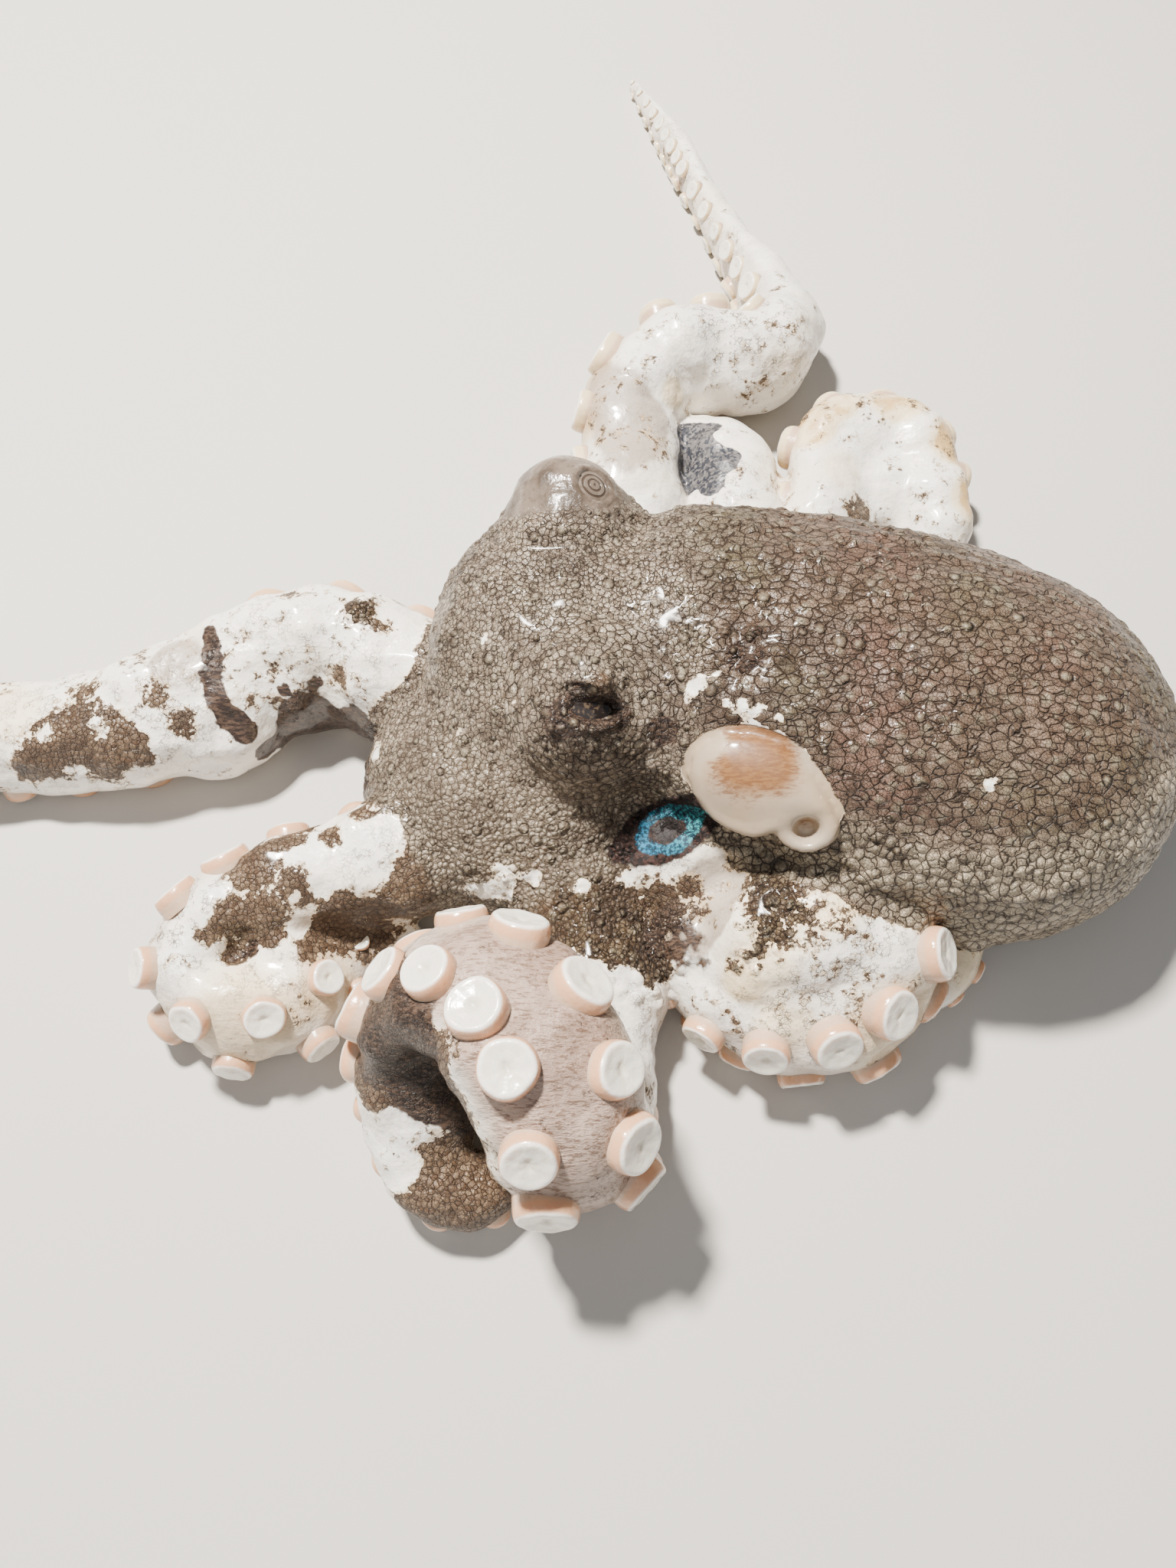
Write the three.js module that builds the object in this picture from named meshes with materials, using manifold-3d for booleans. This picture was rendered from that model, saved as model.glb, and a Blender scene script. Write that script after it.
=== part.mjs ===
// A two-spot octopus at life size, lying limp on a level floor: a bag-shaped mantle, a head with two raised
// eyes, a funnel, a webbed crown and eight arms that curl with their suckers outward.
// Millimetres, +Z up. The origin is on the floor, in the middle of the flat on which the mantle rests.
// +X runs towards the mantle's rear end, and the arms spread towards -X and to both sides.
import * as THREE from "three";
import { mergeVertices } from "three/addons/utils/BufferGeometryUtils.js";
import Module from "manifold-3d";

const wasm = await Module();
wasm.setup();

// ---- Driving dimensions -------------------------------------------------------------------------------

const GAP = 0.3; // clearance left between two neighbouring nodes
const FLOOR = 0; // everything is trimmed level here
const MANTLE = { front: [-50, 17, 27], rear: [39.5, -13.5, 21], halfWidth: 34, halfHeight: 25.5, neck: 0.7 };
const HEAD = { at: [-61, 15, 26], half: [23, 26, 18], turn: -0.26 };
const CROWN = { at: [-68, -3, 9], half: [28, 25.5, 21], turn: 0 };
const EYE_LEFT = { mound: [-57, 0.5, 31], moundRadius: 14.5, ball: [-57.8, -5.4, 38.2], ballRadius: 6.4 };
const EYE_RIGHT = { mound: [-59.5, 29.5, 32], moundRadius: 13, ball: [-60.4, 33.4, 36.2], ballRadius: 9.4 };
const EYEBALL_ROUNDS = [11, 7]; // faces round an eyeball, and from its top to its bottom
const MOUND_ROUNDS = [10, 7];
const SWELLING_ROUNDS = [10, 6];
const BODY_ROUNDS = [16, 9];
const FUNNEL_WALL = 1.6;
// The funnel leaves the neck on the near side, bulges and narrows to a rolled open end: x, y, z and radius.
const FUNNEL_ROUTE = [
  [-40.5, -7, 31, 7.6], [-36.4, -12, 33, 7], [-31, -15.8, 34.2, 6.1], [-26.4, -18.4, 34.8, 5],
  [-22.6, -20.8, 34.8, 4.2],
];

const ARM_SIDES = 8; // corners of an arm's section
const STEPS_PER_SPAN = 8; // sections worked out between two points of its route
const LONGEST_STEP = 10.5; // distance between an arm's sections where it is straight
const SHORTEST_STEP = 4; // and where it bends most
const STEP_IN_BENDS = 0.42; // that distance over the radius of the bend
const INNER_SIDE = 0.86; // how far the inner side of a bend may reach, over the radius of the bend
const ARM_FLATNESS = 0.78; // an arm's thickness over its width
const ORAL_FLATNESS = 0.72; // the sucker side is flatter still
const SUCKER_SIZE = 0.4; // a sucker's radius over the arm's half width
const LARGEST_SUCKER = 4.6;
const SUCKER_PITCH = 0.42; // the step from one sucker to the next over the arm's half width
const LEAST_STRETCH = 0.6; // how far a bend's inner side draws the suckers apart, at most
const SUCKER_ROW = 0.56; // how far each of the two rows lies from the middle, over the arm's half width
const SUCKER_HEIGHT = 0.44; // how far a sucker stands out, over its radius
const SUCKER_SUNK = 0.45; // and how far its foot lies in the flesh
const SUCKER_FOOT = 0.85; // the foot's radius over the face's
const SUCKER_LEAN = 0.45; // how far each row leans away from the middle
const SUCKER_GROWTH = { first: 0.55, over: 70 }; // the first one's share of its size, and where it is full
const FIRST_SUCKER = 16; // distance of the first sucker from the mouth
const SUCKER_SIDES = 6;
const SMALLEST_SUCKER = 3.6; // radius under which suckers are not modelled
const LOWEST_FACING = -0.05; // nor are those that face further down towards the floor than this
const CUT_MARGIN = 0.3; // nor are those that stand closer to a cut than this part of a span

// Each arm's route: x, y, z and half width, then the turn of its sucker side about the arm, in degrees,
// away from the floor. The cuts are the route's points at which the arm is divided.
const ARMS = {
  arm_l1: {
    cuts: [0, 5, 9, 15],
    route: [
      [-74, -8, 12, 12, 0], [-86, -17.3, 12.4, 11.5, -20], [-96, -21.8, 11.8, 11.2, -50],
      [-106, -24.6, 11, 11, -75], [-115, -27.6, 10.4, 10.6, -90], [-122, -33.6, 9.8, 10.2, -98],
      [-122.8, -39.6, 9.4, 9.6, -102], [-118, -44.4, 9.2, 9.3, -116], [-110.6, -45.8, 9, 9.2, -128],
      [-103.8, -43, 8.4, 8.6, -130], [-100.6, -38.4, 6.8, 7, -136], [-96.5, -34, 4.9, 5, -150],
      [-90.5, -31.5, 3.7, 3.8, -120], [-84.5, -31.5, 2.7, 2.8, -90], [-79, -33, 2, 2.1, -60],
      [-75, -36, 1.4, 1.4, -30],
    ],
    bulge: { at: [-107.5, -36, 8.6], half: [9.5, 6.5, 7.6] },
    sparse: { from: 54, times: 1.65 },
  },
  arm_l2: {
    cuts: [0, 5, 9, 13, 18],
    route: [
      [-64, -8, 11, 13, 0], [-60, -20, 10, 13.3, 0], [-56.5, -33, 9.2, 13, 0], [-57, -46, 9, 12.4, 0],
      [-57.6, -57, 9.4, 12.2, 5], [-58, -65.8, 15.2, 12, 15], [-59, -67.2, 25, 12.4, 30],
      [-61.4, -62, 31.5, 12.9, 40], [-64.4, -55, 33.5, 13, 50], [-69.5, -49, 33, 12.8, 55],
      [-76.5, -45.5, 29, 12.2, 60], [-82.5, -48, 22, 11.4, 70], [-84, -55, 14.5, 10.2, 90],
      [-83, -62.5, 9.2, 9.2, 100], [-80.5, -69, 6.8, 8, 90], [-75, -71.5, 5.2, 6.6, 75],
      [-70.5, -67.5, 4, 5, 55], [-71, -61.5, 2.9, 3.5, 35], [-76, -59, 1.7, 1.9, 15],
    ],
  },
  arm_l3: {
    cuts: [0, 4, 8, 12],
    route: [
      [-56, -9, 12, 12.5, 0], [-44, -16, 14.5, 12.6, 20], [-33, -20.5, 17, 12.6, 45],
      [-22.5, -22.5, 18, 12.6, 70], [-13, -27, 17, 12.6, 95], [-8.5, -36, 14.4, 12.2, 120],
      [-14, -44.8, 11.6, 11.4, 140], [-24.5, -47.4, 10, 10.4, 130], [-34.5, -44, 8.2, 8.6, 115],
      [-40.5, -37, 5.9, 6.2, 110], [-41.5, -30, 4.2, 4.3, 90], [-37.5, -25, 2.9, 3, 60],
      [-31.5, -24, 1.7, 1.7, 30],
    ],
    bulge: { at: [-21.5, -33.2, 15.6], half: [18, 15, 13.3] },
  },
  arm_l4: {
    cuts: [0, 4, 10],
    route: [
      [-54, -5, 10, 10.5, 20], [-42, -12, 9.2, 10, 30], [-31, -18, 8.6, 9.6, 40],
      [-20, -22.5, 8.4, 9.2, 55], [-9, -26, 8.2, 8.6, 70], [0, -28, 7.4, 7.6, 80],
      [4.5, -33.5, 5.8, 6, 80], [0, -39.5, 4.6, 4.8, 70], [-6.5, -41, 3.4, 3.6, 40],
      [-12, -38.5, 2.3, 2.6, 20], [-17, -35.5, 1.5, 1.6, 0],
    ],
  },
  arm_r1: {
    cuts: [0, 4, 9, 16],
    route: [
      [-72, 5, 12, 12.5, -10], [-86, 12.8, 12.4, 13, -35], [-98, 18, 12.2, 13.8, -60],
      [-108, 19.5, 12, 14, -60], [-117.5, 17, 11.4, 13.6, -45], [-127, 11.5, 10.8, 12.8, -30],
      [-138, 7.6, 10, 12, -20], [-150, 6.2, 8.6, 11.2, -10], [-163, 5.4, 7.8, 10.4, 5],
      [-176, 6.8, 6.9, 9.3, 25], [-188.5, 11.5, 6.5, 8, 50], [-198, 20.5, 6.1, 6.7, 70],
      [-201, 32.5, 5, 5.4, 80], [-195, 42.5, 3.9, 4.2, 80], [-185.5, 45, 2.9, 3.2, 80],
      [-178.5, 40, 2.1, 2.3, 80], [-179, 33.5, 1.4, 1.4, 80],
    ],
  },
  arm_r2: {
    cuts: [0, 4, 7, 11, 15],
    route: [
      [-64, 8, 9.5, 11, 0], [-55.5, 24, 9.5, 11.8, 20], [-49.5, 39, 10, 12.4, 40],
      [-48, 53, 10.6, 12.8, 60], [-48.6, 66, 11, 13, 75], [-48, 77, 11.6, 13, 80],
      [-42, 87, 12.2, 13, 85], [-31, 90, 12.4, 12.8, 85], [-21.5, 90.8, 12, 12.2, 85],
      [-16.5, 99.5, 10.4, 10.8, 85], [-18, 111.5, 8.2, 8.6, 80], [-22.5, 126, 5.9, 6.2, 75],
      [-27.4, 140.3, 4.9, 5.2, 75], [-32.5, 154.6, 4.4, 4.7, 80], [-38.2, 171, 3.4, 3.7, 90],
      [-45.5, 190.5, 1.5, 1.6, 100],
    ],
  },
  arm_r3: {
    cuts: [0, 4, 11],
    route: [
      [-60, 7, 8.5, 9.5, 0], [-47, 22, 8.8, 10, 0], [-37, 34, 9, 10.4, -10], [-30.5, 46, 9.2, 11, -20],
      [-28.6, 56, 9.2, 10.8, -25], [-30.4, 65.6, 9, 10, -30], [-36, 69, 7.4, 8, -30],
      [-40.2, 64.5, 5.6, 6.2, -30], [-38.8, 58, 4.4, 4.9, -30], [-35.8, 52, 3.4, 3.8, -20],
      [-36.5, 46.5, 2.4, 2.7, -10], [-41, 43.5, 1.4, 1.6, 0],
    ],
  },
  arm_r4: {
    cuts: [0, 4, 9, 14],
    route: [
      [-54, 5, 8, 9, 0], [-40, 19, 8.4, 9.4, 25], [-26.5, 31, 8.8, 9.8, 42], [-15, 42, 9.2, 10, 50],
      [-9.6, 53.6, 9.6, 10.4, 50], [-8.8, 63.8, 9.8, 10.6, 50], [-4.2, 70.4, 9.8, 10.6, 50],
      [2.8, 71.6, 9.6, 10.4, 50], [7.8, 66.6, 9.2, 10.2, 50], [9.2, 57.6, 8.6, 9.6, 45],
      [9.2, 49.5, 7, 8, 40], [4, 43, 5, 5.4, 30], [-3, 42, 3.5, 3.8, 15], [-8, 45.5, 2.3, 2.6, 0],
      [-8, 51, 1.5, 1.5, 0],
    ],
    bulge: { at: [0.5, 60.5, 8], half: [8.5, 9, 8.4] },
  },
};

// The finish of each kind of part: colour, roughness.
const FINISH = {
  mantle: [0x8d8272, 0.45],
  head: [0x8a7c69, 0.45],
  crown: [0x9a8f7e, 0.45],
  funnel: [0xd9c9a8, 0.35],
  eye_left: [0x14100c, 0.1],
  eye_right: [0x8f8a80, 0.12],
  arm: [0xd8d0c2, 0.4],
};

// ---- Solids from three.js geometry --------------------------------------------------------------------

// A closed geometry as a manifold-3d solid.
function solidOf(geometry) {
  const bare = geometry.index ? geometry.toNonIndexed() : geometry.clone();
  const placesOnly = new THREE.BufferGeometry().setAttribute("position", bare.getAttribute("position"));
  const merged = mergeVertices(placesOnly, 1e-4);
  return new wasm.Manifold(
    new wasm.Mesh({
      numProp: 3,
      vertProperties: merged.attributes.position.array,
      triVerts: new Uint32Array(merged.index.array),
    }),
  );
}

// A solid as a three.js geometry again.
function geometryOf(solid) {
  const mesh = solid.getMesh();
  return new THREE.BufferGeometry()
    .setAttribute("position", new THREE.BufferAttribute(new Float32Array(mesh.vertProperties), 3))
    .setIndex(new THREE.BufferAttribute(new Uint32Array(mesh.triVerts), 1));
}

// A closed skin over rings that have the same number of corners, with a fan over each end.
function loft(rings) {
  const sides = rings[0].length;
  const points = rings.flat();
  const faces = [];
  for (let i = 0; i + 1 < rings.length; i += 1) {
    for (let k = 0; k < sides; k += 1) {
      const a = i * sides + k;
      const b = i * sides + ((k + 1) % sides);
      faces.push(a, b, b + sides, a, b + sides, a + sides);
    }
  }
  for (const [ring, first] of [[rings[0], true], [rings.at(-1), false]]) {
    const middle = ring.reduce((sum, p) => sum.add(p), new THREE.Vector3()).divideScalar(sides);
    const start = first ? 0 : (rings.length - 1) * sides;
    for (let k = 0; k < sides; k += 1) {
      const a = start + k;
      const b = start + ((k + 1) % sides);
      faces.push(...(first ? [b, a, points.length] : [a, b, points.length]));
    }
    points.push(middle);
  }
  return new THREE.BufferGeometry().setFromPoints(points).setIndex(faces);
}

// A ball stretched to three half sizes, turned about the vertical and put in place.
function ball(at, half, turn, grow, rounds) {
  const geometry = new THREE.SphereGeometry(1, ...rounds);
  geometry.scale(half[0] + grow, half[1] + grow, half[2] + grow);
  geometry.rotateZ(turn);
  geometry.translate(...at);
  return solidOf(geometry);
}

// What lies below the floor, to be cut away.
const below = (() => {
  const depth = 60;
  const width = 600;
  const geometry = new THREE.BoxGeometry(width, width, depth);
  geometry.translate(0, 0, FLOOR - depth / 2);
  return solidOf(geometry);
})();

// ---- Mantle ------------------------------------------------------------------------------------------

// The mantle's width at t, 0 at the neck and 1 at the rear end: it swells from the neck and closes as an egg.
function mantleSwell(t) {
  const widest = 0.55;
  if (t < widest) return MANTLE.neck + (1 - MANTLE.neck) * Math.sin((t / widest) * (Math.PI / 2));
  return Math.sqrt(Math.max(0, 1 - ((t - widest) / (1 - widest)) ** 2.5));
}

function mantle(grow) {
  const front = new THREE.Vector3(...MANTLE.front);
  const rear = new THREE.Vector3(...MANTLE.rear);
  const across = new THREE.Vector3(front.y - rear.y, rear.x - front.x, 0).normalize();
  const sides = 18;
  const sag = 1.5;
  const rings = [];
  for (const t of [0, 0.12, 0.27, 0.42, 0.56, 0.69, 0.8, 0.89, 0.955, 0.992]) {
    const centre = front.clone().lerp(rear, t);
    centre.z -= sag * Math.sin(t * Math.PI);
    const swell = mantleSwell(t);
    const ring = [];
    for (let k = 0; k < sides; k += 1) {
      const angle = (2 * Math.PI * k) / sides;
      const up = Math.sin(angle);
      // The lower half is boxier than the upper one, as a soft bag is under its own weight.
      const square = up < 0 ? 0.82 : 1;
      const side = Math.sign(Math.cos(angle)) * Math.abs(Math.cos(angle)) ** square;
      const rise = Math.sign(up) * Math.abs(up) ** square;
      const p = centre.clone().addScaledVector(across, side * (MANTLE.halfWidth * swell + grow));
      p.z += rise * (MANTLE.halfHeight * swell + grow);
      ring.push(p);
    }
    rings.push(ring);
  }
  return solidOf(loft(rings));
}

// ---- Head, eyes, crown and funnel ----------------------------------------------------------------------

function eyeball(eye, grow) {
  return ball(eye.ball, [eye.ballRadius, eye.ballRadius, eye.ballRadius], 0, grow, EYEBALL_ROUNDS);
}

function eyeMound(eye, grow) {
  return ball(eye.mound, [eye.moundRadius, eye.moundRadius, eye.moundRadius], 0, grow, MOUND_ROUNDS);
}

function head(grow) {
  const middle = ball(HEAD.at, HEAD.half, HEAD.turn, grow, BODY_ROUNDS);
  return middle.add(eyeMound(EYE_LEFT, grow)).add(eyeMound(EYE_RIGHT, grow));
}

function crown(grow) {
  return ball(CROWN.at, CROWN.half, CROWN.turn, grow, BODY_ROUNDS);
}

// Rings along the funnel, larger or smaller than its outside.
function funnelRings(grow) {
  const curve = new THREE.CatmullRomCurve3(FUNNEL_ROUTE.map(([x, y, z]) => new THREE.Vector3(x, y, z)));
  const width = new THREE.CatmullRomCurve3(FUNNEL_ROUTE.map(([, , , r]) => new THREE.Vector3(r, 0, 0)));
  const steps = 6;
  const sides = 10;
  const rings = [];
  for (let i = 0; i <= steps; i += 1) {
    const t = i / steps;
    const along = curve.getTangent(t);
    const side = new THREE.Vector3(0, 0, 1).cross(along).normalize();
    const up = along.clone().cross(side);
    const radius = width.getPoint(t).x + grow;
    const ring = [];
    for (let k = 0; k < sides; k += 1) {
      const angle = (2 * Math.PI * k) / sides;
      const p = curve.getPoint(t).addScaledVector(side, radius * Math.cos(angle));
      ring.push(p.addScaledVector(up, radius * Math.sin(angle)));
    }
    rings.push(ring);
  }
  return rings;
}

function funnel(grow) {
  const outer = solidOf(loft(funnelRings(grow)));
  if (grow) return outer;
  const boreRings = 3;
  const inner = funnelRings(-FUNNEL_WALL);
  const past = new THREE.Vector3(FUNNEL_WALL, -FUNNEL_WALL, -FUNNEL_WALL);
  const mouth = inner.at(-1).map((p) => p.clone().add(past));
  return outer.subtract(solidOf(loft([...inner.slice(-boreRings), mouth])));
}

// ---- Arms --------------------------------------------------------------------------------------------

// Sections along an arm's whole route: centre, half width, and the directions along it, to its sucker side
// and across it. The sucker side starts facing the floor and is carried along without twist, then turned
// by the route's angle.
function sections(route) {
  const places = route.map(([x, y, z]) => new THREE.Vector3(x, y, z));
  const widths = route.map(([, , , r, turn]) => new THREE.Vector3(r, turn, 0));
  const line = new THREE.CatmullRomCurve3(places, false, "catmullrom", 0.5);
  const extra = new THREE.CatmullRomCurve3(widths, false, "catmullrom", 0.5);
  const spans = route.length - 1;
  const made = [];
  let carried = new THREE.Vector3(0, 0, -1);
  let length = 0;
  for (let i = 0; i <= spans * STEPS_PER_SPAN; i += 1) {
    const t = i / (spans * STEPS_PER_SPAN);
    const centre = line.getPoint(t);
    const along = line.getTangent(t);
    carried = carried.clone().addScaledVector(along, -carried.dot(along)).normalize();
    const { x: radius, y: turn } = extra.getPoint(t);
    const oral = carried.clone().applyAxisAngle(along, THREE.MathUtils.degToRad(turn));
    if (i) length += centre.distanceTo(made.at(-1).centre);
    made.push({ centre, along, oral, across: oral.clone().cross(along), radius, length, at: t * spans });
  }
  return bends(made);
}

// Where the arm bends sharply, its inner side is held back, so the sections never cross.
function bends(made) {
  const reach = 4;
  made.forEach((s, i) => {
    const before = made[Math.max(0, i - reach)];
    const after = made[Math.min(made.length - 1, i + reach)];
    const turn = after.along.clone().sub(before.along).divideScalar(after.length - before.length);
    s.bend = turn.clone();
    s.room = turn.length() > 1e-4 ? INNER_SIDE / turn.length() : Infinity;
    s.inward = turn.addScaledVector(s.along, -turn.dot(s.along)).normalize();
  });
  return made;
}

function armRing(section, grow) {
  const ring = [];
  for (let k = 0; k < ARM_SIDES; k += 1) {
    const angle = (2 * Math.PI * (k + 0.5)) / ARM_SIDES;
    const toOral = Math.sin(angle);
    const depth = section.radius * (toOral > 0 ? ORAL_FLATNESS : ARM_FLATNESS) + grow;
    const out = section.across.clone().multiplyScalar((section.radius + grow) * Math.cos(angle));
    out.addScaledVector(section.oral, depth * toOral);
    const over = out.dot(section.inward) - section.room - grow;
    if (over > 0) out.addScaledVector(section.inward, -over);
    ring.push(out.add(section.centre));
  }
  return ring;
}

// One length of an arm, from one cut to the next, with its sections closer together in the bends. It is
// joined from the slices between neighbouring sections, which keeps it sound where the arm bends sharply.
function armLength(all, from, to, grow) {
  const part = all.filter((s) => s.at >= from && s.at <= to);
  const kept = [part[0]];
  for (const s of part.slice(1, -1)) {
    const step = Math.min(LONGEST_STEP, Math.max(SHORTEST_STEP, s.room * STEP_IN_BENDS));
    if (s.length - kept.at(-1).length >= step && part.at(-1).length - s.length > step / 2) kept.push(s);
  }
  kept.push(part.at(-1));
  const rings = kept.map((s) => armRing(s, grow));
  // Half the gap comes off each end, and a grown length is as much longer.
  const held = GAP / 2 - grow;
  rings[0].forEach((p) => p.addScaledVector(part[0].along, held));
  rings.at(-1).forEach((p) => p.addScaledVector(part.at(-1).along, -held));
  const slices = rings.slice(1).map((ring, i) => solidOf(loft([rings[i], ring])));
  return slices.reduce((sum, slice) => sum.add(slice));
}

// The suckers' places: two rows that alternate along the sucker side, further apart where the arm is sparse.
function suckerPlaces(all, sparse = { from: Infinity, times: 1 }) {
  const places = [];
  let next = FIRST_SUCKER;
  for (const s of all) {
    if (s.length < next) continue;
    const row = places.length % 2 ? 1 : -1;
    const growth = Math.min(1, SUCKER_GROWTH.first + s.length / SUCKER_GROWTH.over);
    const radius = Math.min(LARGEST_SUCKER, s.radius * SUCKER_SIZE * growth);
    const facing = s.oral.clone().addScaledVector(s.across, SUCKER_LEAN * row).normalize();
    const seat = s.centre
      .clone()
      .addScaledVector(s.across, SUCKER_ROW * row * s.radius)
      .addScaledVector(s.oral, ORAL_FLATNESS * s.radius * Math.sqrt(1 - SUCKER_ROW ** 2));
    places.push({ seat, facing, radius, at: s.at });
    // Round the outer side of a bend the suckers stand as close as on a straight arm.
    const stretch = Math.max(LEAST_STRETCH, 1 - ORAL_FLATNESS * s.radius * s.bend.dot(s.oral));
    const pitch = SUCKER_PITCH * (s.length > sparse.from ? sparse.times : 1);
    next = s.length + (s.radius * pitch) / stretch;
  }
  return places;
}

function sucker(place, grow) {
  const height = place.radius * SUCKER_HEIGHT;
  const sunk = place.radius * SUCKER_SUNK;
  const face = place.radius + grow;
  const foot = place.radius * SUCKER_FOOT + grow;
  const geometry = new THREE.CylinderGeometry(face, foot, height + sunk + grow, SUCKER_SIDES);
  geometry.translate(0, (height - sunk + grow) / 2, 0);
  const upright = new THREE.Vector3(0, 1, 0);
  geometry.applyQuaternion(new THREE.Quaternion().setFromUnitVectors(upright, place.facing));
  geometry.translate(...place.seat);
  return solidOf(geometry);
}

// ---- All the nodes, each with a maker that can also give it grown by the gap ---------------------------

const makers = [
  ["eye_left", "eye_left", (grow) => eyeball(EYE_LEFT, grow)],
  ["eye_right", "eye_right", (grow) => eyeball(EYE_RIGHT, grow)],
  ["funnel", "funnel", funnel],
  ["mantle", "mantle", mantle],
  ["head", "head", head],
  ["crown", "crown", crown],
];

// An arm's length with its suckers, and the round swelling that some arms have.
function armPart(arm, all, places, i, grow) {
  const from = arm.cuts[i];
  const to = arm.cuts[i + 1];
  let solid = armLength(all, from, to, grow);
  for (const place of places) {
    if (place.at > from + CUT_MARGIN && place.at < to - CUT_MARGIN) solid = solid.add(sucker(place, grow));
  }
  if (arm.bulge && i === 1) solid = solid.add(ball(arm.bulge.at, arm.bulge.half, 0, grow, SWELLING_ROUNDS));
  return solid;
}

const LENGTH_NAMES = ["root", "middle", "outer", "tip"];
for (const [name, arm] of Object.entries(ARMS)) {
  const all = sections(arm.route);
  const places = suckerPlaces(all, arm.sparse).filter(
    (p) => p.radius >= SMALLEST_SUCKER && p.facing.z > LOWEST_FACING,
  );
  const lengths = arm.cuts.length - 1;
  for (let i = 0; i < lengths; i += 1) {
    const label = i === lengths - 1 ? LENGTH_NAMES.at(-1) : LENGTH_NAMES[i];
    makers.push([`${name}_${label}`, "arm", (grow) => armPart(arm, all, places, i, grow)]);
  }
}

// Earlier nodes keep their shape, and later ones are cut back to GAP from them.
const group = new THREE.Group();
const grown = [];
for (const [name, kind, make] of makers) {
  let solid = make(0).subtract(below);
  for (const other of grown) solid = solid.subtract(other);
  const bodies = solid.decompose().sort((a, b) => b.volume() - a.volume());
  const [colour, roughness] = FINISH[kind];
  const material = new THREE.MeshStandardMaterial({ color: colour, roughness });
  const mesh = new THREE.Mesh(geometryOf(bodies[0]), material);
  mesh.name = name;
  group.add(mesh);
  grown.push(make(GAP));
}

export default group;
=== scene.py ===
import math
import random

import bpy
import numpy as np
from mathutils import Matrix, Vector, kdtree, noise


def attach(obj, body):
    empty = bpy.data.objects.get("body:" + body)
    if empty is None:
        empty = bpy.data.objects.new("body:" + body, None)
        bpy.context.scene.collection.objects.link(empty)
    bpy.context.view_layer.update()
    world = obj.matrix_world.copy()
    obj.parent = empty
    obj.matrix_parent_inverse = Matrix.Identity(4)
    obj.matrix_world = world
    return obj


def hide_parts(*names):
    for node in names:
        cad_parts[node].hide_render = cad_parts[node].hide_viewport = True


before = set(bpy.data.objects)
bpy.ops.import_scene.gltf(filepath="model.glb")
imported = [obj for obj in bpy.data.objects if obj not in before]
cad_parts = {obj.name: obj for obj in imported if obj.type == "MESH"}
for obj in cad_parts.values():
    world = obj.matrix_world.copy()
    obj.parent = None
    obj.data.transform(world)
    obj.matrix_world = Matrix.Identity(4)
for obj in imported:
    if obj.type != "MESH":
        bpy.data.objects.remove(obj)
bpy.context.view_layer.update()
bpy.ops.object.select_all(action="DESELECT")

# ---- The view --------------------------------------------------------------------------------------------
# A steep look down on the animal from the near side, from a little over a hand's breadth away, with the
# near arms at the bottom of the frame and the mantle's rear end at its right edge.
PITCH_BELOW_HORIZON = 66
bpy.ops.object.camera_add(
    location=(-0.057, -0.089, 0.2), rotation=(math.radians(90 - PITCH_BELOW_HORIZON), 0, 0)
)
camera = bpy.context.object
camera.name = "view"
camera.data.sensor_width = 34.6
camera.data.lens = 26
camera.data.clip_start = 0.005
bpy.context.scene.camera = camera

# ---- Mantle ----------------------------------------------------------------------------------------------
# The bag of thick skin and muscle behind the head, which holds the gills and the gut. Out of the water it
# lies limp on its belly: narrow at the neck, widest past its middle, closed like an egg at the rear.
MM = 0.001
MANTLE_FRONT = Vector((-50, 17, 27))
MANTLE_REAR = Vector((39.5, -13.5, 21))
MANTLE_HALF_WIDTH = 34
MANTLE_HALF_HEIGHT = 25.5
MANTLE_NECK = 0.7
MANTLE_WIDEST = 0.55
MANTLE_SAG = 1.5
LOWER_ROUNDNESS = 0.82
body_flesh = []


def swell(t):
    """The mantle's width over its greatest one, at t from the neck, 0, to the rear end, 1."""
    if t < MANTLE_WIDEST:
        return MANTLE_NECK + (1 - MANTLE_NECK) * math.sin(t / MANTLE_WIDEST * math.pi / 2)
    return math.sqrt(max(0, 1 - ((t - MANTLE_WIDEST) / (1 - MANTLE_WIDEST)) ** 2.5))


def signed_power(value, power):
    return math.copysign(abs(value) ** power, value)


bpy.ops.mesh.primitive_uv_sphere_add(segments=72, ring_count=48, radius=1)
mantle = bpy.context.object
mantle.name = "mantle_flesh"
mantle_across = Vector((MANTLE_FRONT.y - MANTLE_REAR.y, MANTLE_REAR.x - MANTLE_FRONT.x, 0)).normalized()
for vertex in mantle.data.vertices:
    x, y, z = vertex.co
    t = (1 + z) / 2
    round_ring = max(1e-9, math.hypot(x, y))
    if abs(z) > 0.9999:
        x, y, round_ring = 0, 0, 1
    centre = MANTLE_FRONT.lerp(MANTLE_REAR, t)
    centre.z -= MANTLE_SAG * math.sin(t * math.pi)
    # The lower half is boxier than the upper one, as a soft bag is under its own weight.
    roundness = LOWER_ROUNDNESS if y < 0 else 1
    side = signed_power(x / round_ring, roundness) * MANTLE_HALF_WIDTH * swell(t)
    rise = signed_power(y / round_ring, roundness) * MANTLE_HALF_HEIGHT * swell(t)
    vertex.co = (centre + mantle_across * side + Vector((0, 0, rise))) * MM
body_flesh.append(mantle)

# ---- Head, eye mounds and crown --------------------------------------------------------------------------
# The head is a rounded block between mantle and arms, with an eye raised on a mound at each side. Round
# the mouth the arms' roots merge in the crown, one broad lump that stands in for the thin webs of skin
# between them.
HEAD_TURN = -0.26


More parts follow.
